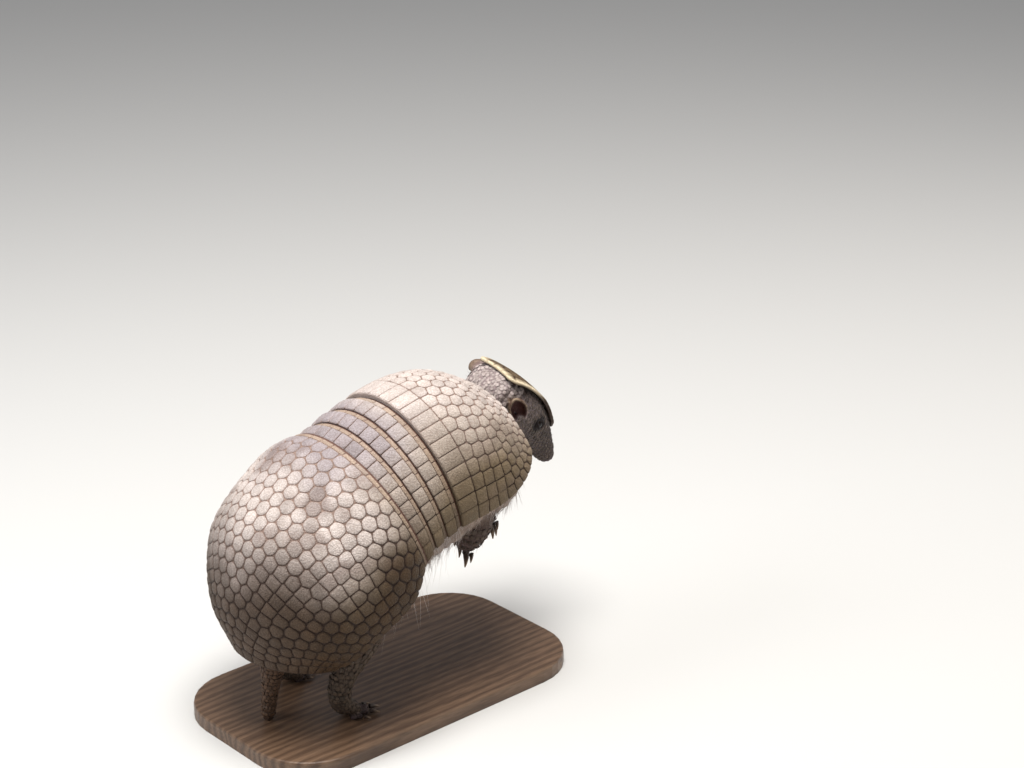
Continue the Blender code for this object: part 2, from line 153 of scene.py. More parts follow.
BELLY = (  # share of the length, depth of the belly below the rings' middle
    (0.00, 26.0),
    (0.15, 33.0),
    (0.30, 38.0),
    (0.50, 33.5),
    (0.65, 29.5),
    (0.80, 24.0),
    (0.92, 18.0),
    (1.00, 13.0),
)
TRUNK_ENDS = (  # share, the ring's place along the carapace, how far past it, size
    (0.00, 0.03, 12.6, 0.00),
    (0.03, 0.03, 11.6, 0.30),
    (0.07, 0.03, 6.0, 0.62),
    (0.10, 0.03, 1.5, 0.76),
    (0.14, 0.07, 0.0, 0.88),
    (0.20, 0.17, 0.0, 1.00),
    (0.86, 0.90, 0.0, 1.00),
    (0.91, 0.96, 0.0, 0.90),
    (0.95, 1.00, 0.0, 0.70),
    (0.98, 1.00, -2.6, 0.40),
    (1.00, 1.00, -3.6, 0.00),
)
NECK = (
    (136.0, 1.0, 108.0, 29.0, 27.0),
    (148.0, 4.0, 119.0, 23.0, 19.0),
    (157.0, 6.5, 127.5, 18.5, 14.5),
    (164.0, 8.0, 133.5, 15.0, 12.5),
    (170.0, 8.5, 137.0, 12.0, 11.5),
)
TAIL = (
    (14.0, 0.0, 52.0, 12.5, 11.0),
    (8.5, 0.0, 42.0, 10.0, 9.2),
    (5.0, 0.0, 32.0, 7.6, 7.2),
    (3.0, 0.0, 22.0, 5.6, 5.5),
    (1.4, 0.0, 12.0, 4.4, 4.3),
    (0.3, 0.0, 4.0, 3.8, 3.8),
    (0.0, 0.0, 0.3, 3.0, 3.0),
)
HIND_LEG = (
    (47.0, 25.0, 60.0, 15.0, 17.0),
    (42.0, 28.0, 48.0, 11.5, 13.5),
    (35.5, 28.2, 37.0, 8.6, 10.0),
    (30.5, 27.2, 27.0, 6.8, 7.6),
    (28.0, 26.2, 17.0, 6.3, 6.6),
    (29.5, 25.6, 9.5, 6.4, 5.6),
    (34.5, 25.2, 5.9, 7.2, 4.6),
    (39.5, 25.2, 4.6, 7.4, 3.6),
)
FORE_LEGS = {
    "right": (
        (122.0, 26.0, 98.0, 13.0, 14.0),
        (119.0, 30.0, 87.0, 10.0, 11.0),
        (118.0, 28.0, 79.5, 7.8, 8.6),
        (122.0, 20.5, 75.0, 6.4, 6.8),
        (128.0, 12.0, 71.5, 5.6, 5.6),
        (132.5, 6.0, 67.5, 6.4, 5.0),
        (134.5, 3.0, 62.5, 7.0, 4.2),
    ),
    "left": (
        (127.0, 24.0, 96.0, 14.0, 15.0),
        (127.0, 31.0, 84.0, 11.0, 12.0),
        (133.0, 31.0, 76.0, 8.6, 9.4),
        (146.0, 25.0, 71.0, 7.2, 7.4),
        (157.0, 20.5, 70.5, 6.4, 6.2),
        (164.5, 17.2, 67.5, 7.0, 5.4),
        (168.8, 15.4, 62.0, 7.2, 4.4),
    ),
}
HIND_TOES = (  # place across the foot, forward reach, half width, claw length
    (-7.0, 39.0, 1.5, 4.0),
    (-3.7, 43.5, 1.9, 5.5),
    (0.0, 45.5, 2.1, 6.5),
    (3.7, 44.0, 1.9, 5.5),
    (7.0, 39.0, 1.5, 4.0),
)
FORE_TOES = (  # place across the paw, toe length, half width, claw length
    (-6.6, 3.0, 1.6, 5.0),
    (-2.9, 4.2, 2.0, 8.5),
    (1.8, 4.6, 2.6, 11.0),
    (6.2, 3.2, 1.7, 6.0),
)
SOLE, HIND_SOLE = 0.3, 0.45
FOOT_Y, FOOT_TOE_OUT, FOOT_PIVOT_X = 25.2, 12.0, 30.0
GAP = 0.35  # between a toe's end and its claw's root
COAT = 0.3  # how far the skin lies inside the solids of the flesh
SKIN_STEP = 0.6
SKIN_TRIANGLES = 120000  # before the face is refined
NEIGHBOURS = 12  # how many of the seeds round it can bound a scute
PLATE_UNDERSIDE = -3.0
JOINT_FILL = 0.9  # the share of each gap that joint skin fills
END_WALL = 0.014  # the share of a plate, at its rear edge, that keeps its scutes' colour
SPOT_COLUMNS, SPOT_MARGIN = 4, 0.04  # the unwrap's squares, and the margin in each
HAIR_DEPTH = 0.3  # how deep a hair's root lies in the skin
PATCH = 0.0015  # half width of one scale's or hair's patch on the unwrap

# Colours, as linear numbers.
SAND = np.array((0.475, 0.412, 0.365))
CREAM = np.array((0.61, 0.55, 0.525))
KHAKI = np.array((0.190, 0.143, 0.088))
LILAC = np.array((0.340, 0.302, 0.328))
EARTH = np.array((0.052, 0.026, 0.009))
STAIN = np.array((0.170, 0.112, 0.095))
SEAM_PALE = np.array((0.300, 0.215, 0.180))
SEAM = np.array((0.034, 0.018, 0.011))
JOINT_SKIN = np.array((0.110, 0.050, 0.036))
TAN_STRIP = np.array((0.43, 0.32, 0.23))
# painted highlight for the head shield's edge
SHIELD_EDGE_HIGHLIGHT = np.array((0.82, 0.72, 0.52))
SLATE = np.array((0.085, 0.068, 0.072))
NAPE = np.array((0.30, 0.245, 0.25))
EAR_TAN = np.array((0.34, 0.265, 0.19))
# painted shade, dark red brown, inside the ears' cups
EAR_CUP_SHADE = np.array((0.060, 0.018, 0.015))
PALE_SKIN = np.array((0.34, 0.27, 0.23))
# the legs' brown, partly their own colour and partly painted shade
LEG_BROWN_AND_SHADE = np.array((0.070, 0.048, 0.037))
PAW_DARK = np.array((0.075, 0.050, 0.055))
TAIL_BROWN = np.array((0.10, 0.062, 0.045))
NOSE_DARK = np.array((0.12, 0.075, 0.075))
PUPIL = np.array((0.003, 0.003, 0.003))
IRIS = np.array((0.022, 0.012, 0.007))
EYE_EDGE = np.array((0.010, 0.006, 0.005))
CLAW_ROOT = np.array((0.05, 0.032, 0.024))
CLAW_TIP = np.array((0.30, 0.22, 0.15))

# The camera, in metres, and its lens and sensor in millimetres.
CAMERA_AT = (-0.6900, -0.8734, 0.6186)
CAMERA_RIGHT, CAMERA_BACK = (0.743, -0.669, 0.0), (-0.622, -0.691, 0.368)
LENS, SENSOR = 80.0, 36.0
LIT_POINT = Vector((0.02, 0.0, 0.09))


# ------------------------------------------------------------------------------- small helpers


def smooth(table, at):
    """Each column of the table at the places at, on a smooth curve through its rows."""
    table = np.array(table, float)
    knots, values = table[:, 0], table[:, 1:]
    slopes = np.gradient(values, knots, axis=0)
    at = np.asarray(at, float)
    held = np.clip(at, knots[0], knots[-1])
    i = np.clip(np.searchsorted(knots, held, side="right") - 1, 0, len(knots) - 2)
    step = (knots[i + 1] - knots[i])[..., None]
    u = (held - knots[i])[..., None] / step
    columns = (
        (1 + 2 * u) * (1 - u) ** 2 * values[i]
        + u * (1 - u) ** 2 * step * slopes[i]
        + u * u * (3 - 2 * u) * values[i + 1]
        + u * u * (u - 1) * step * slopes[i + 1]
    )
    columns += (at - held)[..., None] * np.where((at < held)[..., None], slopes[0], slopes[-1])
    return np.moveaxis(columns, -1, 0)


def place(points):
    """Points of the body's frame, in millimetres, in the part's frame, in metres."""
    return (np.asarray(points, float) + SHIFT) * MM


def ramp(x, low, high):
    """0 below low, 1 above high, and smooth between."""
    u = np.clip((np.asarray(x, float) - low) / (high - low), 0, 1)
    return u * u * (3 - 2 * u)


def blend(a, b, share):
    """From a where share is 0 to b where it is 1."""
    return a + (b - a) * np.asarray(share)[..., None]


def unit(vectors):
    """The vectors at length 1."""
    return vectors / np.linalg.norm(vectors, axis=-1, keepdims=True)


def points_of(mesh):
    flat = np.empty(len(mesh.vertices) * 3)
    mesh.vertices.foreach_get("co", flat)
    return flat.reshape(-1, 3)


def set_points(mesh, points):
    mesh.vertices.foreach_set("co", np.asarray(points, np.float32).ravel())
    mesh.update()


def normals_of(mesh):
    flat = np.empty(len(mesh.vertices) * 3)
    mesh.vertices.foreach_get("normal", flat)
    return flat.reshape(-1, 3)


def numbers(mesh, name):
    """A named number that each of the mesh's points holds."""
    flat = np.empty(len(mesh.vertices))
    mesh.attributes[name].data.foreach_get("value", flat)
    return flat


def set_numbers(mesh, name, values):
    made = mesh.attributes.get(name) or mesh.attributes.new(name, "FLOAT", "POINT")
    made.data.foreach_set("value", np.asarray(values, np.float32))


def set_wash(mesh, colours):
    """The piece's own colouring, one colour for each vertex."""
    made = mesh.color_attributes.new("wash", "FLOAT_COLOR", "POINT")
    colours = np.clip(colours, 0.0, 1.0)
    full = np.concatenate([colours, np.ones((len(colours), 1))], axis=1)
    made.data.foreach_set("color", full.astype(np.float32).ravel())


def noise_at(points, size, seed=0.0):
    """Smooth noise from -1 to 1 at points in metres, with features of about size millimetres."""
    scale = 1.0 / (size * MM)
    return np.array([noise.noise(Vector(p) * scale + Vector((seed, seed, seed))) for p in points])


def tree_of(points):
    """A tree that finds the nearest of the points."""
    tree = KDTree(len(points))
    for i, point in enumerate(points):
        tree.insert(point, i)
    tree.balance()
    return tree


def add_piece(name, mesh, finish, replaced=()):
    """Puts a finished mesh in the scene and the nodes that it stands for."""
    mesh.name = name
    mesh.materials.clear()
    mesh.materials.append(finish)
    made = bpy.data.objects.new(name, mesh)
    bpy.context.scene.collection.objects.link(made)
    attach(made, "root")
    if replaced:
        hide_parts(*replaced)
    return made


def mesh_from(bm):
    """A smooth-shaded mesh of the bmesh, which is used up."""
    mesh = bpy.data.meshes.new("piece")
    bm.to_mesh(mesh)
    bm.free()
    mesh.shade_smooth()
    return mesh


def lay_grid(bm, along, around, shape):
    """Adds a grid laid over shape(u, v), both from 0 to 1. Where its edges meet they are merged."""
    made = bmesh.ops.create_grid(bm, x_segments=along, y_segments=around, size=0.5)["verts"]
    flat = np.array([vert.co for vert in made])
    for vert, point in zip(made, shape(flat[:, 0] + 0.5, flat[:, 1] + 0.5)):
        vert.co = point
    bmesh.ops.remove_doubles(bm, verts=made, dist=1e-6)


# ------------------------------------------------------------------------------------ surfaces


def shell_point(t, angle, rise):
    """The carapace's surface at share t of its length, raised by rise millimetres."""
    x, z, lean, half_width, height = smooth(CARAPACE, t)
    lean = np.radians(lean)
    depth = np.where(np.cos(angle) > 0, height, LOWER_SHARE * height) + rise
    lift = depth * np.cos(angle) - height
    return np.stack(
        [
            x - np.sin(lean) * lift,
            -(half_width + rise) * np.sin(angle),
            z + np.cos(lean) * lift,
        ],
        axis=-1,
    )


def ring_of(start, end, notch, share, side):
    """A plate's place on the carapace: the ring's share of the length and the angle round it."""
    t = start + share * (end - start)
    angle = side * np.radians(smooth(WRAP, t)[0])
    return t + notch * (1 - share) ** 2 * np.cos(angle), angle


def plate_surface(start, end, rises, notch):
    """A plate's surface, as a function of the share of its length and the side, -1 to 1."""

    def surface(share, side):
        t, angle = ring_of(start, end, notch, share, side)
        rise = smooth(rises, share)[0] * np.cos(RISE_SPREAD * angle)
        return place(shell_point(t, angle, rise))

    return surface


def frame_at(surface, u, v):
    """The surface's two slopes and its outward normal."""
    e = 1e-3
    along = (surface(u + e, v) - surface(u - e, v)) / (2 * e)
    across = (surface(u, v + e) - surface(u, v - e)) / (2 * e)
    return along, across, unit(np.cross(along, across))


def lifted(surface, u, v, height):
    """Points that stand height millimetres off the surface."""
    normal = frame_at(surface, u, v)[2]
    return surface(u, v) + normal * np.asarray(height)[..., None] * MM


def head_matrix():
    """The head's own frame: rolled, and then pitched down, about its origin."""
    pitch, roll = math.radians(HEAD_PITCH), math.radians(HEAD_ROLL)
    turn = Matrix.Rotation(pitch, 4, "Y") @ Matrix.Rotation(roll, 4, "X")
    return Matrix.Translation(HEAD_ORIGIN) @ turn


def from_head(points):
    """Points of the head's frame (forward, outward to the left, up) in the body's frame."""
    matrix = np.array(head_matrix())
    return np.asarray(points, float) @ matrix[:3, :3].T + matrix[:3, 3]


def to_head(points):
    """Points of the part's frame, in metres, in the head's frame, in millimetres."""
    matrix = np.array(head_matrix())
    return (np.asarray(points) / MM - SHIFT - matrix[:3, 3]) @ matrix[:3, :3]


def head_direction(direction):
    """A direction of the head's frame in the body's frame."""
    return unit(np.array(head_matrix())[:3, :3] @ np.array(direction, float))


def head_top(forward, outward):
    """Height of the nearly flat plate on the head, which goes on straight behind the skull."""
    _, top, _ = smooth(HEAD, np.maximum(forward, SKULL_BACK))
    top = top + SKULL_BACK_SLOPE * np.minimum(forward - SKULL_BACK, 0.0)
    return top - SHIELD_DOME * outward**2 / smooth(HEAD_SHIELD, forward)[0]


def eye_distance(local):
    """How far points of the head's frame are from the nearer eye's middle."""
    ways = [local - (EYE[0], side * EYE[1], EYE[2]) for side in (LEFT, RIGHT)]
    return np.minimum(*(np.linalg.norm(way, axis=1) for way in ways))


def head_shield_surface(share, side):
    """The plate on the head, from its rear edge to its point between the eyes."""
    start, end = HEAD_SHIELD[0][0], HEAD_SHIELD[-1][0]
    forward = start + share * (end - start) + 0.0 * side
    outward = side * smooth(HEAD_SHIELD, forward)[0]
    upward = head_top(forward, outward) + SHIELD_LIFT
    return place(from_head(np.stack([forward, outward, upward], axis=-1)))


# ------------------------------------------------------------------------- scutes on the plates


def run_along(surface, line, span):
    """Sides from the middle line outwards, and the length run along the surface up to each."""
    side = np.linspace(0.0, span, 160)
    points = surface(line(side), side) / MM
    steps = np.linalg.norm(np.diff(points, axis=0), axis=1)
    return side, np.concatenate([[0.0], np.cumsum(steps)])


def one_row(surface, line, pitch, staggered, span=1.0):
    """Seeds about a pitch apart along u = line(side), alike on both sides of the middle line."""
    side, run = run_along(surface, line, span)
    first = 0.5 if staggered else 0.0
    count = max(int(round(run[-1] / pitch - (0.5 - first))), 1)
    spacing = run[-1] / (count + 0.5 - first)
    at = (np.arange(count + (0 if staggered else 1)) + first) * spacing
    found = np.interp(at, run, side)
    found = np.concatenate([found, -found[found > 1e-6]])
    return np.stack([line(found), found], axis=-1)


def level_row(surface, share, pitch, staggered):
    """A row of seeds straight across the plate, at one share of its length."""
    return one_row(surface, lambda side: np.full_like(side, share), pitch, staggered)


def packed_rows(surface, low, high, from_high, first, last, depth):
    """Staggered rows that follow one edge of the plate, from scutes of size first to size last."""
    sides = np.linspace(0.0, 1.0, 81)
    shares = np.linspace(high, low, 300) if from_high else np.linspace(low, high, 300)
    points = surface(shares[:, None], sides[None, :]) / MM
    steps = np.linalg.norm(np.diff(points, axis=0), axis=2)
    run = np.concatenate([np.zeros((1, len(sides))), np.cumsum(steps, axis=0)])
    seeds, reached, staggered = [], 0.0, True
    while reached < run[-1].max():
        size = first + (last - first) * min(reached / depth, 1.0)
        row = reached + 0.45 * size
        reached += 0.87 * size
        held = run[-1] > row + 0.3 * size
        if not held.any():
            break
        span = sides[np.nonzero(held)[0].max()]
        crossing = np.array([np.interp(row, run[:, c], shares) for c in range(len(sides))])

        def line(side, crossing=crossing):
            return np.interp(np.abs(side), sides, crossing)

        if span > 0.05:
            seeds.append(one_row(surface, line, size, staggered, span))
        staggered = not staggered
    return np.concatenate(seeds)


def local_frame(surface, seed):
    """A seed's place, its flat axes, and the matrix from flat millimetres to surface shares."""
    u, v = np.array([seed[0]]), np.array([seed[1]])
    along, across, normal = (item[0] / MM for item in frame_at(surface, u, v))
    normal = normal * MM
    axis_x = unit(along)
    axis_y = np.cross(normal, axis_x)
    slopes = np.array([[along @ axis_x, across @ axis_x], [along @ axis_y, across @ axis_y]])
    return surface(u, v)[0] / MM, np.stack([axis_x, axis_y]), np.linalg.inv(slopes)


def walls_round(i, frames, seeds, limits, groove):
    """What bounds a scute: half way to each neighbour, and the plate's edges."""
    centre, axes, inverse = frames[i]
    gaps = np.array([other[0] for other in frames]) - centre
    distances = np.linalg.norm(gaps, axis=1)
    walls = []
    for j in np.argsort(distances)[1 : NEIGHBOURS + 1]:
        flat = axes @ gaps[j]
        outward = flat / np.linalg.norm(flat)
        walls.append((outward * (distances[j] / 2 - groove), outward))
    low, high, edge = limits
    for row, value, sign in (
        (inverse[0], low - seeds[i][0], -1),
        (inverse[0], high - seeds[i][0], 1),
        (inverse[1], -edge - seeds[i][1], -1),
        (inverse[1], edge - seeds[i][1], 1),
    ):
        length = np.linalg.norm(row)
        outward = sign * row / length
        walls.append((outward * (abs(value) / length - groove), outward))
    return walls


def cut_cell(walls, reach):
    """One flat face, cut from a disc by its walls."""
    cell = bmesh.new()
    bmesh.ops.create_circle(cell, cap_ends=True, segments=12, radius=reach)
    for point, outward in walls:
        bmesh.ops.bisect_plane(
            cell,
            geom=[*cell.verts, *cell.edges, *cell.faces],
            dist=1e-5,
            plane_co=(*point, 0.0),
            plane_no=(*outward, 0.0),
            clear_outer=True,
        )
    return cell


def relax(surface, seeds, limits, reach, rounds):
    """Moves each seed to the middle of its cell, a few times over."""
    seeds = np.array(seeds)
    for _ in range(rounds):
        frames = [local_frame(surface, seed) for seed in seeds]
        moved = seeds.copy()
        for i, (_, _, inverse) in enumerate(frames):
            cell = cut_cell(walls_round(i, frames, seeds, limits, 0.0), reach)
            for face in cell.faces:
                moved[i] += inverse @ np.array(face.calc_center_median_weighted())[:2]
            cell.free()
        seeds = moved
    return seeds


def raise_scute(cell, corner, profile):
    """Rounds the face's corners and raises it in steps: each is (inset, height, rim)."""
    rim = cell.verts.layers.float.new("rim")
    corners = [vert for vert in cell.verts if vert.link_faces]
    bmesh.ops.bevel(
        cell,
        geom=corners,
        offset=corner,
        segments=2,
        profile=0.5,
        affect="VERTICES",
        clamp_overlap=True,
        material=-1,
    )
    bmesh.ops.remove_doubles(cell, verts=cell.verts, dist=0.05)
    (foot, wall), *steps = profile
    for vert in cell.verts:
        vert.co.z = foot
    top = next(iter(cell.faces))
    middle = top.calc_center_median_weighted()
    for inset, level, amount in ((0.0, wall, 0.0), *steps):
        made = bmesh.ops.extrude_face_region(cell, geom=[top])["geom"]
        top = next(item for item in made if isinstance(item, bmesh.types.BMFace))
        for vert in top.verts:
            inward = middle - vert.co
            inward.z = 0.0
            vert.co += inward * min(inset / inward.length, 0.6)
            vert.co.z = level
            vert[rim] = amount


def scute_field(bm, surface, seeds, limits, style):
    """Adds a raised scute for each seed. Their points are (share, side, height) until laid."""
    frames = [local_frame(surface, seed) for seed in seeds]
    scratch = bpy.data.meshes.new("scute")
    for i, (_, _, inverse) in enumerate(frames):
        cell = cut_cell(walls_round(i, frames, seeds, limits, style["groove"]), style["reach"])
        if not cell.faces or sum(face.calc_area() for face in cell.faces) < style["least"]:
            cell.free()
            continue
        raise_scute(cell, style["corner"], style["profile"])
        tone = cell.verts.layers.float.new("tone")
        rim = cell.verts.layers.float["rim"]
        value = RANDOM.uniform(0.0, 1.0) + style.get("strip", 0.0)
        for vert in cell.verts:
            vert[tone] = value
            share, side = seeds[i] + inverse @ np.array(vert.co[:2])
            vert.co = (share, side, vert.co.z)
            if share > max(limits[1], 1.0) - END_WALL:
                vert[rim] = max(vert[rim], 0.7)
        cell.to_mesh(scratch)
        cell.free()
        bm.from_mesh(scratch)
    bpy.data.meshes.remove(scratch)


def plate_base(bm, joint, steps, top, bottom=PLATE_UNDERSIDE):
    """Adds the plate under the scutes, in the same points. joint is the joint skin's length."""
    made = bmesh.ops.create_grid(bm, x_segments=steps[0], y_segments=steps[1], size=0.5)["verts"]
    rim = bm.verts.layers.float["rim"]
    for vert in made:
        vert.co = (vert.co.x + 0.5, 2 * vert.co.y, top)
        if vert.co.x > 1.0 - 1e-4:
            vert[rim] = 0.8
        elif vert.co.x < 1e-4 and joint:
            vert[rim] = -1.0
            vert.co.x -= joint
    faces = {face for vert in made for face in vert.link_faces}
    grown = bmesh.ops.extrude_face_region(bm, geom=list(faces))["geom"]
    for item in grown:
        if isinstance(item, bmesh.types.BMVert):
            item.co.z = bottom


def lay_on(bm, surface):
    """Turns (share, side, height) points into places, and returns the mesh and those points."""
    mesh = bpy.data.meshes.new("plate")
    bm.to_mesh(mesh)
    bm.free()
    plan = points_of(mesh)
    set_points(mesh, lifted(surface, plan[:, 0], plan[:, 1], plan[:, 2]))
    outward = bmesh.new()
    outward.from_mesh(mesh)
    bmesh.ops.recalc_face_normals(outward, faces=outward.faces)
    outward.to_mesh(mesh)
    outward.free()
    mesh.shade_smooth()
    mesh.set_sharp_from_angle(angle=math.radians(50))
    return mesh, plan


# How a field's scutes are made, in millimetres: groove is half the gap between two of them,
# corner their rounding, reach the greatest radius, least the smallest area that is kept, and
# profile the steps: (height of the foot, height of the wall), then (inset, height, rim) inwards.
# rim is the vertex's share of the scute's own colour, with the seam's colour where it is 0.
PELVIC_STYLE = {
    "groove": 0.12,
    "corner": 1.4,
    "reach": 13.0,
    "least": 4.0,
    "profile": (
        (-1.0, -0.46),
        (0.14, -0.24, 0.50),
        (0.30, 0.00, 0.88),
        (0.70, 0.26, 1.0),
        (1.1, 0.46, 1.0),
    ),
}
BAND_STYLE = dict(PELVIC_STYLE, corner=0.9, least=3.0)
STRIP_STYLE = dict(
    PELVIC_STYLE,
    corner=0.4,
    groove=0.10,
    least=1.0,
    strip=1.5,
    profile=((-1.5, -0.90), (0.22, -0.62, 0.8), (0.4, -0.52, 1.0)),
)
SCAPULAR_STYLE = dict(PELVIC_STYLE, corner=1.1, least=3.0)
BAND_PITCH = 8.4
HEAD_STYLE = {
    "groove": 0.16,
    "corner": 0.7,
    "reach": 10.0,
    "least": 1.5,
    "profile": ((0.9, 1.32), (0.2, 1.62, 0.5), (0.6, 1.86, 1.0)),
}


def shell_colours(t, angle, tone, rim, points):
    """Cream over the shoulders, lilac grey on the back, khaki flanks, and earth brown on the rump
    and low down: partly the shell's own brown, partly painted shade.
    """
    turn = np.degrees(np.abs(angle)) + 10.0 * noise_at(points, 26.0, 4.0)
    along = t + 0.03 * noise_at(points, 20.0, 6.0)
    colours = blend(CREAM, SAND, ramp(turn, 20, 52))
    grey = ramp(along, 0.27, 0.37) * ramp(along, 0.72, 0.56) * ramp(turn, 54, 18)
    colours = blend(colours, LILAC, 0.85 * grey)
    pale = ramp(along, 0.54, 0.62) * ramp(along, 0.88, 0.74)
    pale = pale * ramp(turn, 20, 36) * ramp(turn, 76, 50)
    colours = blend(colours, CREAM * 1.06, 0.9 * pale)
    colours = blend(colours, KHAKI, ramp(turn + 12 * ramp(along, 0.40, 0.20), 52, 84))
    # rump and low: earth brown on the rump and the lower flanks, partly the shell's own brown and
    # partly painted shade on the lower body; low also darkens and widens the seams there
    rump = ramp(along + 0.05 * ramp(turn, 5, 35), 0.73, 0.91)
    low = np.maximum(rump, 0.95 * ramp(turn, 54, 88) * ramp(t, 0.38, 0.60))
    colours = blend(colours, EARTH, 0.93 * low)
    # ends: the bands' lowest edges drawn towards earth brown, partly painted shade on the lower
    # body
    ends = ramp(turn, 84, 100) * ramp(t, 0.27, 0.31) * ramp(t, 0.56, 0.50)
    colours = blend(colours, EARTH, 0.45 * ends)
    strip = ramp(tone, 1.4, 1.6)
    colours = blend(colours, TAN_STRIP * (1 - 0.6 * ramp(turn, 50, 95))[:, None], 0.75 * strip)
    stain = ramp(noise_at(points, 13.0, 12.0), 0.08, 0.50)
    colours = blend(colours, STAIN, stain * (0.16 + 0.34 * ramp(along, 0.48, 0.58)) * (1 - low))
    tint = (0.92 + 0.16 * np.mod(tone, 1.5)) * (1 + 0.13 * noise_at(points, 7.0, 8.0))
    seam = blend(SEAM_PALE, SEAM, np.maximum(low, ramp(turn, 30, 80)))
    colours = blend(seam, colours * tint[:, None], np.clip(rim, 0, 1) ** (1 + 2.6 * low))
    return blend(colours, JOINT_SKIN, np.clip(-rim, 0, 1))


def add_plate(name, place_on_ring, fields, base_steps, base_top, finish):
    """A shield or band: a base plate with its fields of scutes, and the joint skin before it."""
    start, end, rises, notch = place_on_ring
    joint = JOINT_FILL * 2 * JOINT_GAP / (end - start) if start else 0.0
    surface = plate_surface(start, end, rises, notch)
    bm = bmesh.new()
    for seeds, limits, style in fields(surface):
        scute_field(bm, surface, seeds, limits, style)
    plate_base(bm, joint, base_steps, base_top)
    mesh, plan = lay_on(bm, surface)
    t, angle = ring_of(start, end, notch, plan[:, 0], plan[:, 1])
    tone, rim = numbers(mesh, "tone"), numbers(mesh, "rim")
    set_wash(mesh, shell_colours(t, angle, tone, rim, points_of(mesh)))
    add_piece(f"{name}_scutes", mesh, finish, [name])


# Each of these yields a plate's fields: their seeds, their limits (the share at each end, and
# the side) and their style.


def pelvic_fields(surface):
    strip = 0.030
    low_strip = dict(STRIP_STYLE, profile=((-1.2, -0.5), (0.3, -0.12, 0.9), (0.6, 0.0, 1.0)))
    yield level_row(surface, strip / 2, 8.8, True), (0.0, strip, 1.0), low_strip
    limits = (strip, 0.996, 1.008)
    seeds = packed_rows(surface, strip, 1.0, False, 8.6, 8.0, 110.0)
    seeds += RANDOM.normal(0, 0.003, seeds.shape)
    yield relax(surface, seeds, limits, 13.0, 6), limits, PELVIC_STYLE


def scapular_fields(surface):
    seam = 0.80
    rear = level_row(surface, 0.5 + seam / 2, BAND_PITCH, True)
    yield rear, (seam, 0.998, 1.008), dict(BAND_STYLE, reach=14.0)
    limits = (0.002, seam, 1.008)
    seeds = packed_rows(surface, 0.0, seam, True, 8.6, 4.6, 62.0)
    seeds += RANDOM.normal(0, 1.0, seeds.shape) * (0.004 + 0.006 * ramp(seeds[:, :1], 0.3, 0.0))
    yield relax(surface, seeds, limits, 14.0, 3), limits, SCAPULAR_STYLE


def band_fields(surface):
    strip = 0.20
    squares = level_row(surface, 0.5 + strip / 2, BAND_PITCH, False)
    yield squares, (strip + 0.02, 1.03, 1.01), BAND_STYLE
    yield level_row(surface, strip / 2, BAND_PITCH, True), (-0.04, strip, 1.0), STRIP_STYLE


def make_shell(finish):
    """The two great shields and the three bands, from the shoulders back."""
    ends = (0.0, BAND_ENDS[0] - JOINT_GAP, SCAPULAR_RISE, NECK_NOTCH)
    add_plate("scapular_shield", ends, scapular_fields, (60, 70), -0.50, finish)
    for name, start, end in zip(("front", "middle", "rear"), BAND_ENDS, BAND_ENDS[1:]):
        ends = (start + JOINT_GAP, end - JOINT_GAP, BAND_RISE, 0.0)
        add_plate(f"band_{name}", ends, band_fields, (8, 90), -0.95, finish)
    ends = (BAND_ENDS[-1] + JOINT_GAP, 1.0, PELVIC_RISE, 0.0)
    add_plate("pelvic_shield", ends, pelvic_fields, (70, 80), -0.45, finish)


def make_head_shield(finish):
    limits = (0.0, 1.0, 1.02)
    seeds = packed_rows(head_shield_surface, 0.0, 1.0, False, 6.4, 4.4, 50.0)
    seeds += RANDOM.normal(0, 0.012, seeds.shape)
    seeds = relax(head_shield_surface, seeds, limits, 10.0, 2)
    bm = bmesh.new()
    scute_field(bm, head_shield_surface, seeds, limits, HEAD_STYLE)
    plate_base(bm, 0.0, (44, 34), 1.25, bottom=0.0)
    mesh, plan = lay_on(bm, head_shield_surface)
    tone, rim = numbers(mesh, "tone"), numbers(mesh, "rim")
    colours = blend(EARTH * 1.6, KHAKI, 0.35 + 0.3 * tone)
    colours = blend(SEAM * 1.6, colours, rim)
    share, side, height = plan.T
    # painted highlight along the shield's rear edge and rear sides, on the scutes' raised tops
    sides = ramp(np.abs(side), 0.90, 1.0) * ramp(share, 0.55, 0.25)
    edge = np.maximum(sides, ramp(share, 0.05, 0.0))
    colours = blend(colours, SHIELD_EDGE_HIGHLIGHT, edge * ramp(height, 0.2, 0.6))
    set_wash(mesh, colours)
    add_piece("head_shield_scutes", mesh, finish, ["head_shield"])


# --------------------------------------------------------------------------------------- flesh


def tube(stations, across=(0.0, 1.0, 0.0), grow=0.0, blunt=16):
    """A closed round surface along a path: u runs along it and v once round it."""
    stations = np.array(stations, float)
    steps = np.linalg.norm(np.diff(stations[:, :3], axis=0), axis=1)
    run = np.concatenate([[0.0], np.cumsum(steps)])
    table = np.column_stack([run / run[-1], stations])
    across = np.array(across, float)

    def shape(u, v):
        s = (1 - np.cos(np.pi * u)) / 2
        columns = smooth(table, s)
        e = 1e-3
        ahead = smooth(table, np.minimum(s + e, 1.0)) - smooth(table, np.maximum(s - e, 0.0))
        along = unit(np.moveaxis(ahead[:3], 0, -1))
        side = unit(across - (along @ across)[..., None] * along)
        full = np.sqrt(np.maximum(1 - np.abs(2 * s - 1) ** blunt, 0.0))
        wide = ((columns[3] + grow) * full * np.cos(2 * np.pi * v))[..., None]
        deep = ((columns[4] + grow) * full * np.sin(2 * np.pi * v))[..., None]
        centre = np.moveaxis(columns[:3], 0, -1)
        return centre + wide * side + deep * np.cross(along, side)

    return shape


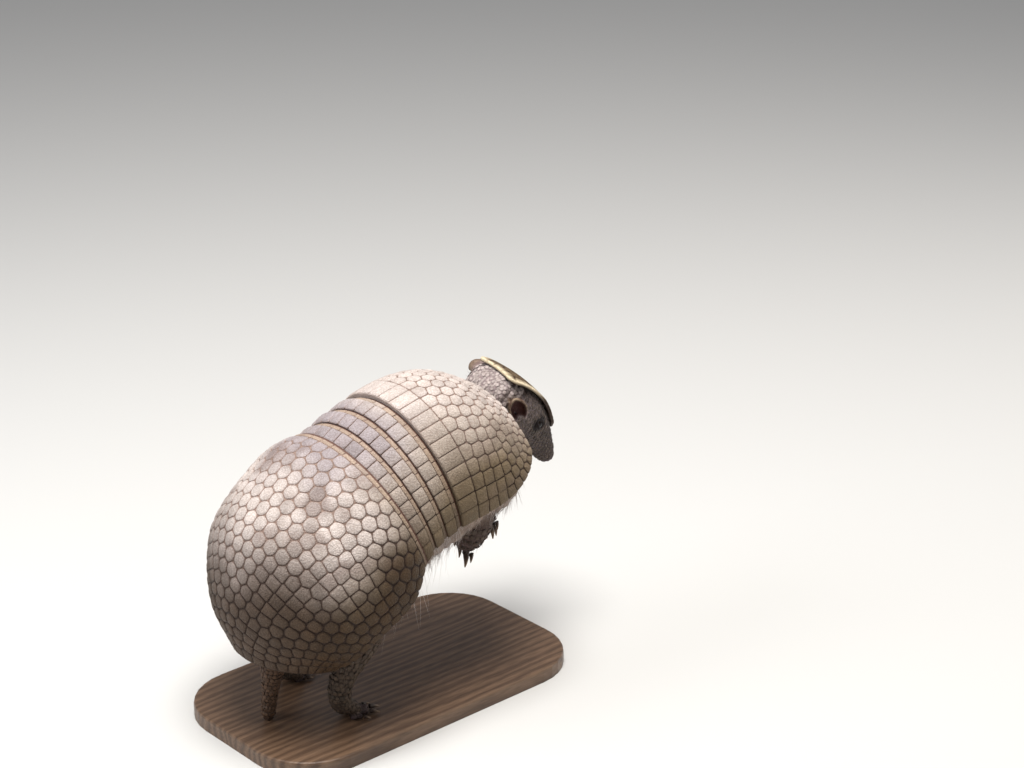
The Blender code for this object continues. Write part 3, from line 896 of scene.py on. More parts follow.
def trunk_shape(u, v):
    """The trunk follows the carapace's rings from inside, with rounded ends."""
    t, past, size = smooth(TRUNK_ENDS, u)
    size = np.clip(size, 0.0, 1.0)
    x, z, lean, half_width, height = smooth(CARAPACE, t)
    lean, angle = np.radians(lean), 2 * np.pi * v
    depth = np.where(np.cos(angle) > 0, height - TRUNK_INSET, smooth(BELLY, t)[0]) - COAT
    lift = depth * size * np.cos(angle) - height
    return np.stack(
        [
            x - np.sin(lean) * lift + np.cos(lean) * past,
            -(half_width - TRUNK_INSET - COAT) * size * np.sin(angle),
            z + np.cos(lean) * lift + np.sin(lean) * past,
        ],
        axis=-1,
    )


def head_shape(u, v):
    """The head: flat on top, fuller below and blunt at both ends."""
    length = HEAD_END - HEAD_START
    forward = HEAD_START + length * (1 - np.cos(np.pi * u)) / 2
    half_width, top, bottom = smooth(HEAD, forward)
    full = np.sqrt(np.maximum(1 - np.abs(1 - 2 * (forward - HEAD_START) / length) ** 60, 0.0))
    angle = 2 * np.pi * v
    above = np.sin(angle) > 0
    across = np.sign(np.cos(angle)) * np.abs(np.cos(angle)) ** np.where(above, 0.6, 0.9)
    outward = (half_width - COAT) * full * across
    rise = np.where(above, np.abs(np.sin(angle)) ** 0.4, np.sin(angle))
    upward = (top + bottom) / 2 + ((top - bottom) / 2 - COAT) * full * rise
    return from_head(np.stack([forward, outward, upward], axis=-1))


def ear_axes(word):
    """An ear's base and its directions along, across and out of its mouth."""
    side, (base, lie, facing) = SIDES[word], EARS[word]
    along = head_direction((lie[0], side * lie[1], lie[2]))
    mouth = head_direction((facing[0], side * facing[1], facing[2]))
    mouth = unit(mouth - (mouth @ along) * along)
    base = from_head((base[0], side * base[1], base[2]))
    return base, along, np.cross(along, mouth), mouth


def ear_shape(word):
    """An ear's wall, rolled round its cup: u runs to the tip, v from one edge to the other."""
    base, along, across, mouth = ear_axes(word)

    def shape(u, v):
        angle = (2 * v - 1) * math.radians(100)
        radius = EAR_RADIUS * smooth(EAR_WIDTHS, u)[0] - EAR_WALL / 2
        return (
            base
            + (EAR_LENGTH * u)[..., None] * along
            + (radius * np.sin(angle))[..., None] * across
            - (radius * np.cos(angle))[..., None] * mouth
        )

    return shape


def ear_hollow(points):
    """How far inside an ear's cup each point lies, from 0 to 1."""
    inside = np.zeros(len(points))
    for word in EARS:
        base, along, across, mouth = ear_axes(word)
        away = points / MM - SHIFT - base
        run = (away @ along) / EAR_LENGTH
        radius = EAR_RADIUS * smooth(EAR_WIDTHS, np.clip(run, 0.0, 1.0))[0]
        wide = np.hypot(away @ across, away @ mouth) / radius
        held = ramp(run, 0.02, 0.2) * ramp(run, 1.0, 0.8) * ramp(away @ mouth / radius, 0.25, -0.15)
        inside = np.maximum(inside, ramp(wide, 0.98, 0.72) * held)
    return inside


def foot_point(forward, across, height, side):
    """A place on a hind foot, which is turned a little outwards."""
    turn = math.radians(FOOT_TOE_OUT)
    x = forward - FOOT_PIVOT_X
    return np.array(
        (
            FOOT_PIVOT_X + x * math.cos(turn) - across * math.sin(turn),
            side * (FOOT_Y + x * math.sin(turn) + across * math.cos(turn)),
            height,
        )
    )


def mirrored(stations, side):
    """A limb's stations on one side of the body."""
    return [(x, side * y, *sizes) for x, y, *sizes in stations]


def hind_toes(side):
    """Each toe's path and its claw: root, direction, bend, length, half width, half depth."""
    for across, reach, half_width, claw in HIND_TOES:
        height = half_width + SOLE
        toe = [
            foot_point(reach - back, across * (0.75 if back else 1.0), height, side)
            for back in (6.5, 2.5, 0.0)
        ]
        sizes = (half_width * 0.9, half_width, half_width * 0.86)
        path = [(*point, size, size) for point, size in zip(toe, sizes)]
        along = unit(toe[2] - toe[1])
        bend = np.array((0.0, 0.0, -1.0))
        root = toe[2] + along * GAP
        yield path, (root, along, bend, claw, half_width * 0.76, half_width * 0.74)


def fore_toes(word, side):
    """The same for the four toes of a forepaw, which bend down from the palm."""
    stations = mirrored(FORE_LEGS[word], side)
    wrist, palm = np.array(stations[-2][:3]), np.array(stations[-1][:3])
    along = unit(palm - wrist)
    across = np.array((0.0, 1.0, 0.0))
    across = unit(across - (across @ along) * along)
    down = unit(np.array((0.25, 0.0, -1.0)))
    for offset, length, half_width, claw in FORE_TOES:
        start = palm + across * offset * side * 0.8 - along * 2.5
        middle = palm + across * offset * side + along * length * 0.5
        end = middle + unit(along * 0.35 + down) * length * 0.8
        sizes = (half_width, half_width, half_width * 0.9)
        path = [(*point, size, size) for point, size in zip((start, middle, end), sizes)]
        heading = unit(end - middle)
        bend = np.array((-1.0, 0.0, 0.0))
        bend = unit(bend - (bend @ heading) * heading)
        root = end + heading * GAP
        yield path, (root, heading, bend, claw, half_width * 0.78, half_width * 0.95)


def on_soles(shape):
    """The same surface, flat where it would reach under the soles."""

    def flat(u, v):
        points = shape(u, v)
        points[..., 2] = np.maximum(points[..., 2], SOLE + HIND_SOLE)
        return points

    return flat


def flesh_parts():
    """Every part of the flesh: its surface, the grid laid on it, and its colours along u."""
    yield "trunk", trunk_shape, (90, 96), (PALE_SKIN, PALE_SKIN)
    yield "neck", tube(NECK, grow=-COAT, blunt=30), (30, 60), (NAPE, NAPE)
    yield "head", head_shape, (96, 72), (NAPE, SLATE)
    yield "tail", tube(TAIL, grow=-COAT, blunt=30), (60, 36), (TAIL_BROWN, TAIL_BROWN)
    for word, side in SIDES.items():
        leg = on_soles(tube(mirrored(HIND_LEG, side), grow=-COAT, blunt=24))
        yield f"hindleg_{word}", leg, (60, 40), (LEG_BROWN_AND_SHADE * 1.5, LEG_BROWN_AND_SHADE)
        for path, _ in hind_toes(side):
            yield f"hindleg_{word}", tube(path, grow=-COAT / 2, blunt=6), (14, 16), (PAW_DARK,) * 2
        leg = tube(mirrored(FORE_LEGS[word], side), grow=-COAT, blunt=24)
        yield f"foreleg_{word}", leg, (60, 40), (LEG_BROWN_AND_SHADE * 1.5, PAW_DARK)
        for path, _ in fore_toes(word, side):
            yield f"foreleg_{word}", tube(path, grow=-COAT / 2, blunt=6), (14, 16), (PAW_DARK,) * 2
        yield f"ear_{word}", ear_shape(word), (34, 34), (NAPE * 1.3, EAR_TAN)


def lay_flesh():
    """The parts as one bmesh, with each point's own colour and part for the skin to take."""
    bm = bmesh.new()
    guide_points, guide_colours, guide_parts, guide_spots, names = [], [], [], [], []
    for name, shape, steps, (first, last) in flesh_parts():
        part = bmesh.new()
        lay_grid(part, *steps, lambda u, v, shape=shape: place(shape(u, v)))
        if name.startswith("ear"):
            bmesh.ops.solidify(part, geom=list(part.faces), thickness=EAR_WALL * MM)
        bmesh.ops.recalc_face_normals(part, faces=part.faces)
        scratch = bpy.data.meshes.new("part")
        part.to_mesh(scratch)
        part.free()
        bm.from_mesh(scratch)
        bpy.data.meshes.remove(scratch)
        u, v = (axis.ravel() for axis in np.meshgrid(np.linspace(0, 1, 60), np.linspace(0, 1, 40)))
        if name not in names:
            names.append(name)
        guide_points.append(place(shape(u, v)))
        guide_colours.append(blend(first, last, ramp(u, 0.15, 0.6)))
        guide_parts.append(np.full(len(u), names.index(name)))
        guide_spots.append(spot_of(names.index(name), u, v))
    lists = (guide_points, guide_colours, guide_parts, guide_spots)
    guides = [np.concatenate(items) for items in lists]
    return bm, guides, names


def edge_ends(mesh):
    """The numbers of the two points of every edge."""
    flat = np.empty(len(mesh.edges) * 2, np.int64)
    mesh.edges.foreach_get("vertices", flat)
    return flat.reshape(-1, 2)


def eased(mesh, values, rounds, share):
    """Values of the mesh's points, each drawn towards the mean of its neighbours."""
    a, b = edge_ends(mesh).T
    count = np.bincount(a, minlength=len(values)) + np.bincount(b, minlength=len(values))
    values = np.array(values, float)
    share = np.broadcast_to(np.asarray(share, float), len(values))
    for _ in range(rounds):
        for c in range(values.shape[1]):
            column = values[:, c]
            total = np.bincount(a, weights=column[b], minlength=len(column))
            total += np.bincount(b, weights=column[a], minlength=len(column))
            values[:, c] = column + share * (total / count - column)
    return values


def modified(mesh, kind, groups=(), **settings):
    """The mesh after one modifier. groups is {name: weights}."""
    holder = bpy.data.objects.new("holder", mesh)
    bpy.context.scene.collection.objects.link(holder)
    for name, weights in dict(groups).items():
        group = holder.vertex_groups.new(name=name)
        for level in np.unique(weights):
            group.add(np.nonzero(weights == level)[0].tolist(), float(level), "REPLACE")
    modifier = holder.modifiers.new(kind.lower(), kind)
    for key, value in settings.items():
        setattr(modifier, key, value)
    bpy.context.view_layer.update()
    graph = bpy.context.evaluated_depsgraph_get()
    made = bpy.data.meshes.new_from_object(holder.evaluated_get(graph))
    bpy.data.objects.remove(holder)
    bpy.data.meshes.remove(mesh)
    return made


def refine(mesh, chosen):
    """Halves the edges between the chosen points, and takes out any face with no area."""
    bm = bmesh.new()
    bm.from_mesh(mesh)
    bm.verts.ensure_lookup_table()
    picked = [edge for edge in bm.edges if all(chosen[vert.index] for vert in edge.verts)]
    bmesh.ops.subdivide_edges(bm, edges=picked, cuts=1, use_grid_fill=True)
    bmesh.ops.dissolve_degenerate(bm, dist=0.002 * MM, edges=bm.edges)
    bmesh.ops.delete(bm, geom=[vert for vert in bm.verts if not vert.link_faces], context="VERTS")
    bm.to_mesh(mesh)
    bm.free()
    mesh.update()


def under_shell(points):
    """Whether a point of the trunk lies well inside the shell, where nobody sees it."""
    shares = np.linspace(0.04, 0.97, 60)
    sides = np.linspace(-0.86, 0.86, 50)
    t, side = (axis.ravel() for axis in np.meshgrid(shares, sides))
    angle = side * np.radians(smooth(WRAP, t)[0])
    tree = tree_of(place(shell_point(t, angle, -TRUNK_INSET)))
    return np.array([tree.find(Vector(point))[2] < 4.0 * MM for point in points])


def wants_detail(points):
    """Whether each point is on an ear, by an eye, on the muzzle's end or on a foot."""
    local = to_head(points)
    fine = ((local[:, 0] > 57) & (local[:, 0] < 72)) | (points[:, 2] / MM - SHIFT[2] < 8.0)
    fine |= eye_distance(local) < 7.0
    for word in EARS:
        base, along, _, _ = ear_axes(word)
        middle = place(base + EAR_LENGTH / 2 * along)
        fine |= np.linalg.norm(points - middle, axis=1) < 12.0 * MM
    return fine


def ring_fold(distance, middle, width, height):
    """A rounded ridge, or a groove where height is negative, along distance = middle."""
    return height * np.exp(-(((distance - middle) / width) ** 2))


def shape_eyelids(points):
    """Lids that hug each eyeball, with an almond opening and a crease round them."""
    local = to_head(points)
    cover = EYE_RADIUS + 0.70
    for side in (RIGHT, LEFT):
        centre = np.array((EYE[0], side * EYE[1], EYE[2]))
        axis = unit(np.array(GAZE) * (1.0, side, 1.0))
        away = local - centre
        distance = np.linalg.norm(away, axis=1)
        heading = away / distance[:, None]
        near = (heading @ axis > 0.05) & (distance < 9.0)
        span = unit(np.cross(np.array((0.0, 0.0, 1.0)), axis)) * -side
        rise = np.cross(axis, span) * -side
        forward, upward = heading @ span * 3.9, heading @ rise * 3.9
        in_lid = np.hypot(forward / 2.75, (upward + 0.22 * forward) / 1.75)
        short = cover - distance
        raised = ramp(in_lid, 0.86, 1.10)
        target = distance + raised * (np.sqrt(short**2 + 0.12) + short) / 2
        opened = ramp(in_lid, 1.02, 0.86)
        target = target + opened * (np.minimum(target, EYE_RADIUS - 0.5) - target)
        target += ring_fold(in_lid, 1.25, 0.18, 0.16) - ring_fold(in_lid, 1.72, 0.16, 0.28)
        target -= ring_fold(in_lid, 2.15, 0.18, 0.18)
        local = np.where(near[:, None], centre + heading * target[:, None], local)
    return place(from_head(local))


def shape_muzzle(points):
    """The mouth's slit, the narrower lower jaw, the nostrils and the nose pad's edge."""
    local = to_head(points)
    forward, outward, upward = local.T
    _, _, bottom = smooth(HEAD, forward)
    on_head = ramp(forward, 26, 34) * (forward < 70)
    line = bottom + 2.6 + 0.9 * ramp(forward, 60, 66) - 0.6 * ramp(forward, 44, 34)
    below = ramp(line - upward, -0.2, 1.0) * on_head
    outward = outward * (1 - 0.13 * below)
    slit = ring_fold(upward, line, 0.55, 0.75) * on_head * ramp(forward, 66.5, 64.5)
    reach = np.maximum(np.abs(outward), 1e-6)
    outward = outward - np.sign(outward) * np.minimum(slit, reach)
    local = np.stack([forward, outward, upward], axis=-1)
    for side in (RIGHT, LEFT):
        nostril = np.array((66.0, side * 2.3, -2.2))
        away = np.linalg.norm((local - nostril) / (1.5, 1.0, 1.25), axis=1)
        pit = 1.7 * np.maximum(1 - (away / 1.25) ** 2, 0.0) ** 1.5
        rim = ring_fold(away, 1.55, 0.35, 0.28)
        local[:, 0] += (rim - pit) * 0.75
        local[:, 1] += side * (rim - pit) * 0.65
    return place(from_head(local))


def skin_relief(points, share):
    """Folds and wrinkles, in millimetres outward. share holds each part's share of a point."""
    body, local = points / MM - SHIFT, to_head(points)
    waver = noise_at(points, 9.0, 3.0)

    def folds(run, pitch, height):
        return height * np.sin(2 * np.pi * run / pitch)

    relief = 0.16 * noise_at(points, 2.2, 5.0)
    neck_run = local[:, 0] + 0.35 * np.abs(local[:, 1]) + 2.0 * waver
    relief += share["neck"] * folds(neck_run, 5.2, 0.75)
    relief += share["head"] * ramp(local[:, 0], 14, 4) * folds(neck_run, 4.4, 0.45)
    cheek_run = local[:, 0] + 0.5 * local[:, 2] + waver
    relief += share["head"] * ramp(local[:, 0], 16, 24) * folds(cheek_run, 3.0, 0.14)
    belly_run = body[:, 0] * 0.8 + body[:, 2] * 0.6 + 3.0 * waver
    relief += share["trunk"] * folds(belly_run, 7.0, 0.50)
    relief += share["tail"] * folds(body[:, 2] + 0.6 * waver, 3.3, 0.22)
    leg_run = body[:, 2] + 2.5 * waver
    for word in SIDES:
        relief += share[f"hindleg_{word}"] * ramp(body[:, 2], 10, 18) * folds(leg_run, 4.6, 0.28)
        arm = share[f"foreleg_{word}"] * ramp(body[:, 2], 62, 70)
        relief += arm * folds(leg_run + body[:, 0], 4.4, 0.28)
        relief += share[f"ear_{word}"] * 0.10 * noise_at(points, 1.4, 9.0)
    return relief


def thinned_mesh(mesh):
    """The skin with fewer points where it is plain, and fewest of all under the shell."""
    points = points_of(mesh)
    covered = eased(mesh, under_shell(points).astype(float)[:, None], 3, 0.5)[:, 0] > 0.98
    plain = np.where(covered, 1.0, np.where(wants_detail(points), 0.0, 0.30))
    ratio = SKIN_TRIANGLES / (2 * len(mesh.polygons))
    return modified(mesh, "DECIMATE", groups={"plain": plain}, vertex_group="plain", ratio=ratio)


def guided_fields(mesh, guides, names):
    """Eases the mesh, and returns its points' fields: parts' shares, colour and unwrap spot."""
    guide_points, guide_colours, guide_parts, guide_spots = guides
    points = points_of(mesh)
    tree = tree_of(guide_points)
    nearest = np.array([tree.find(Vector(point))[1] for point in points])
    part = guide_parts[nearest]
    ears = np.isin(part, [i for i, name in enumerate(names) if name.startswith("ear")])
    ends = (points[:, 2] / MM - SHIFT[2] < 6.0) | (to_head(points)[:, 0] > 58.0)
    share = np.where(ears, 0.04, np.where(ends, 0.15, 0.5))
    set_points(mesh, eased(mesh, points, 12, share))
    weights = (part[:, None] == np.arange(len(names))).astype(float)
    fields = eased(mesh, np.concatenate([weights, guide_colours[nearest]], axis=1), 10, 0.5)
    return np.concatenate([fields, guide_spots[nearest]], axis=1)


def refine_face(mesh, fields):
    """Refines the mesh by the eyes and at the nose, and returns the fields of all its points."""
    columns = range(fields.shape[1])
    for i in columns:
        set_numbers(mesh, f"field_{i}", fields[:, i])
    for reach in (8.0, 6.0):
        local = to_head(points_of(mesh))
        nose = (local[:, 0] > HEAD_END - reach) & (np.abs(local[:, 1]) < 8)
        refine(mesh, (eye_distance(local) < reach) | nose)
    fields = np.stack([numbers(mesh, f"field_{i}") for i in columns], axis=-1)
    for i in columns:
        mesh.attributes.remove(mesh.attributes[f"field_{i}"])
    return fields


def make_skin(finish):
    """One skin over all the flesh, drawn together where the parts meet."""
    bm, guides, names = lay_flesh()
    mesh = bpy.data.meshes.new("skin")
    bm.to_mesh(mesh)
    bm.free()
    mesh = modified(mesh, "REMESH", mode="VOXEL", voxel_size=SKIN_STEP * MM, adaptivity=0.0)
    mesh = thinned_mesh(mesh)
    fields = refine_face(mesh, guided_fields(mesh, guides, names))
    colours, spots = fields[:, len(names) : -2], fields[:, -2:]
    share = {name: fields[:, i] for i, name in enumerate(names)}
    ear_share = share["ear_right"] + share["ear_left"]
    points, normals = points_of(mesh), normals_of(mesh)
    relief = skin_relief(points, share)
    pit = ear_hollow(points) * ramp(ear_share, 0.6, 0.3)
    points = points + normals * (relief - 2.2 * pit)[:, None] * MM
    points = shape_muzzle(shape_eyelids(points))
    set_points(mesh, points)
    colours = skin_colours(points, normals, colours, share, relief)
    set_wash(mesh, colours)
    mesh.shade_smooth()
    pairs = product(("ear", "foreleg", "hindleg"), ("left", "right"))
    flesh = ["trunk", "neck", "head", "tail", *("_".join(pair) for pair in pairs)]
    add_piece("skin", mesh, finish, flesh)
    faces = [tuple(face.vertices) for face in mesh.polygons]
    covered = (share["trunk"] > 0.5) & under_shell(points)
    return {
        "names": names,
        "points": points,
        "normals": normals_of(mesh),
        "faces": faces,
        "tree": BVHTree.FromPolygons([Vector(point) for point in points], faces),
        "share": share,
        "colours": colours,
        "spots": spots,
        "hidden": covered | (ear_hollow(points) > 0.15) | (ear_share > 0.4),
    }


def skin_colours(points, normals, colours, share, relief):
    """The guides' colours: painted shade in the folds and highlight on the ridges, darker round the
    eyes, and red brown painted shade in the ears.
    """
    local = to_head(points)
    tint = 1 + 0.22 * noise_at(points, 12.0, 1.0) + 0.15 * noise_at(points, 3.0, 2.0)
    colours = colours * tint[:, None]
    hollow = ear_hollow(points)
    for word in SIDES:
        mouth = ear_axes(word)[3]
        ear = share[f"ear_{word}"]
        # inside each ear's cup the colour goes over to a dark red brown painted shade
        inner = ear * ramp(normals @ mouth, 0.1, 0.5) * ramp(hollow, 0.0, 0.4)
        colours = blend(colours, EAR_CUP_SHADE, np.maximum(inner * 0.8, hollow * 0.95))
    colours = colours * (1 - 0.72 * ramp(eye_distance(local), 7.0, 4.2))[:, None]
    nose = ramp(local[:, 0], 61, 66) * (local[:, 0] < 72)
    colours = blend(colours, NOSE_DARK, 0.7 * nose)
    # painted shade in the folds and painted highlight on their ridges, following the relief
    return colours * np.clip(1 + 0.35 * relief, 0.7, 1.25)[:, None]


def make_eyes(finish):
    """Dark glossy balls, each with its pupil along its gaze."""
    for word, side in SIDES.items():
        centre = place(from_head((EYE[0], side * EYE[1], EYE[2])))
        bm = bmesh.new()
        at, radius = Matrix.Translation(centre), EYE_RADIUS * MM
        bmesh.ops.create_uvsphere(bm, u_segments=32, v_segments=20, radius=radius, matrix=at)
        mesh = mesh_from(bm)
        gaze = head_direction((GAZE[0], side * GAZE[1], GAZE[2]))
        off = np.degrees(np.arccos(np.clip(unit(points_of(mesh) - centre) @ gaze, -1, 1)))
        colours = blend(PUPIL, IRIS, ramp(off, 20, 30))
        set_wash(mesh, blend(colours, EYE_EDGE, ramp(off, 55, 66)))
        add_piece(f"eye_{word}_ball", mesh, finish, [f"eye_{word}"])


def claw_shape(root, along, bend, length, half_width, half_depth):
    """A claw's surface: ridged above, hollowed below and bent towards bend."""
    across = unit(np.cross(along, bend))

    def shape(u, v):
        s = 1 - (1 - u) ** 1.15
        taper = (1 - s) ** 0.72 * 0.90 + 0.10
        taper = taper * np.sqrt(np.maximum(1 - np.abs(2 * s - 1) ** 40, 0.0))
        angle = 2 * np.pi * v
        side, deep = np.cos(angle), np.sin(angle)
        ridge = 1 + 0.14 * np.maximum(-deep, 0.0) ** 6 - 0.16 * np.maximum(deep, 0.0) ** 2
        centre = root + (length * s)[..., None] * along
        centre = centre + (length * 0.22 * s**2)[..., None] * bend
        return place(
            centre
            + (half_width * taper * side)[..., None] * across
            + (half_depth * taper * ridge * deep)[..., None] * bend
        )

    return shape


def make_claws(finish):
    """Horny claws, darker at the root."""
    for word, side in SIDES.items():
        for foot, toes in (("hind", hind_toes(side)), ("fore", fore_toes(word, side))):
            for number, (_, claw) in enumerate(toes, 1):
                bm = bmesh.new()
                lay_grid(bm, 22, 16, claw_shape(*claw))
                bmesh.ops.recalc_face_normals(bm, faces=bm.faces)
                mesh = mesh_from(bm)
                root, along, _, length = (np.array(item) for item in claw[:4])
                run = ((points_of(mesh) / MM - SHIFT - root) @ along) / length
                set_wash(mesh, blend(CLAW_ROOT, CLAW_TIP, ramp(run, 0.25, 1.0)))
                name = f"{foot}_claw_{word}_{number}"
                add_piece(f"{name}_horn", mesh, finish, [name])


# ------------------------------------------------------------------------------ scales and hair


def bead_template():
    """A low rounded scale that points along x: its points, their patch, shades and faces."""
    # shade: the colour's factor, lowest at the scale's foot as painted shade where it meets the
    # skin, and above 1 on its crown as painted highlight
    rings = (  # size, height, shift along x, place on the patch, shade
        (1.0, -0.50, 0.0, 1.0, 0.35),
        (1.0, 0.08, 0.02, 0.9, 0.60),
        (0.82, 0.34, 0.08, 0.6, 0.95),
        (0.44, 0.50, 0.16, 0.3, 1.12),
    )
    turn = np.arange(8) * np.pi / 4
    points, patch, shades, faces = [], [], [], [tuple(range(7, -1, -1)), tuple(range(24, 32))]
    for r, (size, height, shift, wide, painted_shading) in enumerate(rings):
        for k in range(8):
            side = np.array((math.cos(turn[k]), math.sin(turn[k])))
            points.append((size * side[0] + shift, size * side[1], height))
            patch.append(wide * side)
            shades.append(painted_shading)
            if r:
                a, b = 8 * (r - 1) + k, 8 * (r - 1) + (k + 1) % 8
                faces.append((a, b, b + 8, a + 8))
    return np.array(points), np.array(patch), np.array(shades), faces


def strand_template(steps=5):
    """A hair from x = 0 to its tip at x = 1, three sided."""
    points, patch, shades, faces = [], [], [], [(2, 1, 0)]
    for r in range(steps):
        x = r / steps
        radius = (1 - x**2.2) ** 0.8
        for k in range(3):
            angle = 2 * math.pi * k / 3
            points.append((x, radius * math.cos(angle), radius * math.sin(angle)))
            patch.append((2 * x - 1, k - 1))
            shades.append(0.78 + 0.4 * x)
            if r:
                a, b = 3 * (r - 1) + k, 3 * (r - 1) + (k + 1) % 3
                faces.append((a, b, b + 3, a + 3))
    last = 3 * (steps - 1)
    points.append((1.0, 0.0, 0.0))
    patch.append((1.0, 0.0))
    shades.append(1.2)
    faces += [(last + k, last + (k + 1) % 3, last + 3) for k in range(3)]
    return np.array(points), np.array(patch), np.array(shades), faces


def tangent_axes(directions, normals):
    """For each root, unit axes along its lie, across it and away from the skin."""
    away = unit(normals)
    along = unit(directions - np.sum(directions * away, axis=-1, keepdims=True) * away)
    return along, np.cross(away, along), away


def add_copies(name, template, roots, axes, bends, colours, spots, finish):
    """One piece of many copies of a template. axes are each copy's x, y and z, in metres."""
    points, patch, shades, faces = template
    spread = roots[:, None, :] + np.einsum("pk,nkj->npj", points, np.stack(axes, axis=1))
    spread = spread + (points[:, 0] ** 2)[None, :, None] * bends[:, None, :]
    starts = range(0, len(roots) * len(points), len(points))
    mesh = bpy.data.meshes.new(name)
    every = [tuple(start + i for i in face) for start in starts for face in faces]
    mesh.from_pydata(spread.reshape(-1, 3).tolist(), [], every)
    set_wash(mesh, (colours[:, None, :] * shades[None, :, None]).reshape(-1, 3))
    places = (spots[:, None, :] + PATCH * patch[None, :, :]).reshape(-1, 2)
    corners = np.empty(len(mesh.loops), np.int64)
    mesh.loops.foreach_get("vertex_index", corners)
    chart = mesh.uv_layers.new(name="OFBake")
    chart.data.foreach_set("uv", places[corners].ravel())
    mesh.shade_smooth()
    add_piece(name, mesh, finish)


def spot_of(part, u, v):
    """A part's place on the unwrap: each part has its own square, its length across it."""
    corner = np.array((part % SPOT_COLUMNS, part // SPOT_COLUMNS))
    inside = SPOT_MARGIN + (1 - 2 * SPOT_MARGIN) * np.stack([u, v], axis=-1)
    return (corner + inside) / SPOT_COLUMNS


def rows_round(shape, low, high, first, last):
    """Staggered rows of places round a tube, their pitch going from first to last."""
    u = np.linspace(low, high, 240)
    ring = np.arange(48) / 48
    run_of = np.linalg.norm(np.diff(shape(u[:, None], ring[None, :]).mean(axis=1), axis=0), axis=1)
    run = np.concatenate([[0.0], np.cumsum(run_of)])
    found, reached, odd = [], 0.0, 0.0
    while reached < run[-1]:
        pitch = first + (last - first) * reached / run[-1]
        here = np.interp(reached + 0.4 * pitch, run, u)
        loop = shape(np.full(49, here), np.linspace(0, 1, 49))
        girth = np.linalg.norm(np.diff(loop, axis=0), axis=1).sum()
        count = max(int(round(girth / pitch)), 4)
        v = (np.arange(count) + odd + RANDOM.uniform(-0.12, 0.12, count)) / count
        found.append(np.stack([np.full(count, here), v % 1.0, np.full(count, pitch)], axis=-1))
        reached, odd = reached + 0.84 * pitch, 0.5 - odd
    return np.concatenate(found)


def scale_rows(skin, part, shape, span, pitches):
    """Scales in rows round a limb or the tail: roots, lies, normals, pitch, colour and spot."""
    places = rows_round(shape, *span, *pitches)
    u, v, pitch = places.T
    points = place(shape(u, v))
    lies = place(shape(u + 0.004, v)) - place(shape(u - 0.004, v))
    rows = []
    for i, point in enumerate(points):
        hit, _, face, distance = skin["tree"].find_nearest(Vector(point))
        corner = skin["faces"][face][0]
        if distance < 1.6 * MM and not skin["hidden"][corner]:
            normal, colour = skin["normals"][corner], skin["colours"][corner]
            rows.append((*hit, *lies[i], *normal, pitch[i], *colour, *spot_of(part, u[i], v[i])))
    return np.array(rows)


def thinned(points, chosen, spacing):
    """A random choice of the chosen points, none of them closer together than spacing."""
    cell = spacing * MM
    kept, taken = [], {}
    for i in RANDOM.permutation(np.nonzero(chosen)[0]):
        key = tuple(int(c) for c in np.floor(points[i] / cell))
        cells = product(*((c - 1, c, c + 1) for c in key))
        around = [taken[cell_key] for cell_key in cells if cell_key in taken]
        if any(np.sum((points[j] - points[i]) ** 2) < cell**2 for j in around):
            continue
        taken[key] = i
        kept.append(i)
    return np.array(kept, int)


def scattered(skin, chosen, spacing, lie, pitch):
    """Roots spread over part of the skin, in the same columns as scale_rows."""
    kept = thinned(skin["points"], chosen & ~skin["hidden"], spacing)
    lies = np.broadcast_to(np.asarray(lie, float), skin["points"].shape)[kept]
    sizes = np.full((len(kept), 1), pitch)
    columns = (skin["points"][kept], lies, skin["normals"][kept], sizes)
    return np.concatenate([*columns, skin["colours"][kept], skin["spots"][kept]], axis=1)


def add_scales(name, rows, tint, height, finish, tones=(0.70, 1.22)):
    """Low overlapping scales, each a little different from its neighbours."""
    count = len(rows)
    roots, lies, normals, pitch = rows[:, :3], rows[:, 3:6], rows[:, 6:9], rows[:, 9:10] * MM
    wander = RANDOM.normal(0, 0.12, (count, 3)) * np.linalg.norm(lies, axis=1, keepdims=True)
    along, across, away = tangent_axes(lies + wander, normals)
    size = pitch * RANDOM.uniform(0.86, 1.12, (count, 1))
    axes = (along * size * 0.54, across * size * 0.49, away * size * height)
    colours = blend(rows[:, 10:13], *tint) * RANDOM.uniform(*tones, (count, 1))
    bends = np.zeros((count, 3))
    add_copies(name, bead_template(), roots, axes, bends, colours, rows[:, 13:], finish)


def add_hairs(name, rows, length, width, stand, droop, tint, finish):
    """Hairs lying along the skin: stand lifts them off it, droop bends them down."""
    count = len(rows)
    roots, lies, normals = rows[:, :3], rows[:, 3:6], rows[:, 6:9]
    wander = RANDOM.normal(0, 0.22, (count, 3)) * np.linalg.norm(lies, axis=1, keepdims=True)
    along, _, away = tangent_axes(lies + wander, normals)
    long = RANDOM.uniform(*length, (count, 1)) * MM
    heading = unit(along + away * (stand * RANDOM.uniform(0.6, 1.4, (count, 1))))
    side = unit(np.cross(heading, away))
    thick = width * RANDOM.uniform(0.7, 1.2, (count, 1)) * MM
    axes = (heading * long, side * thick, np.cross(heading, side) * thick)
    bends = long * (np.array((0.0, 0.0, -droop)) + RANDOM.normal(0, 0.10, (count, 3)))
    colours = blend(rows[:, 10:13], *tint) * RANDOM.uniform(0.75, 1.2, (count, 1))
    roots = roots - away * HAIR_DEPTH * MM
    add_copies(name, strand_template(), roots, axes, bends, colours, rows[:, 13:], finish)


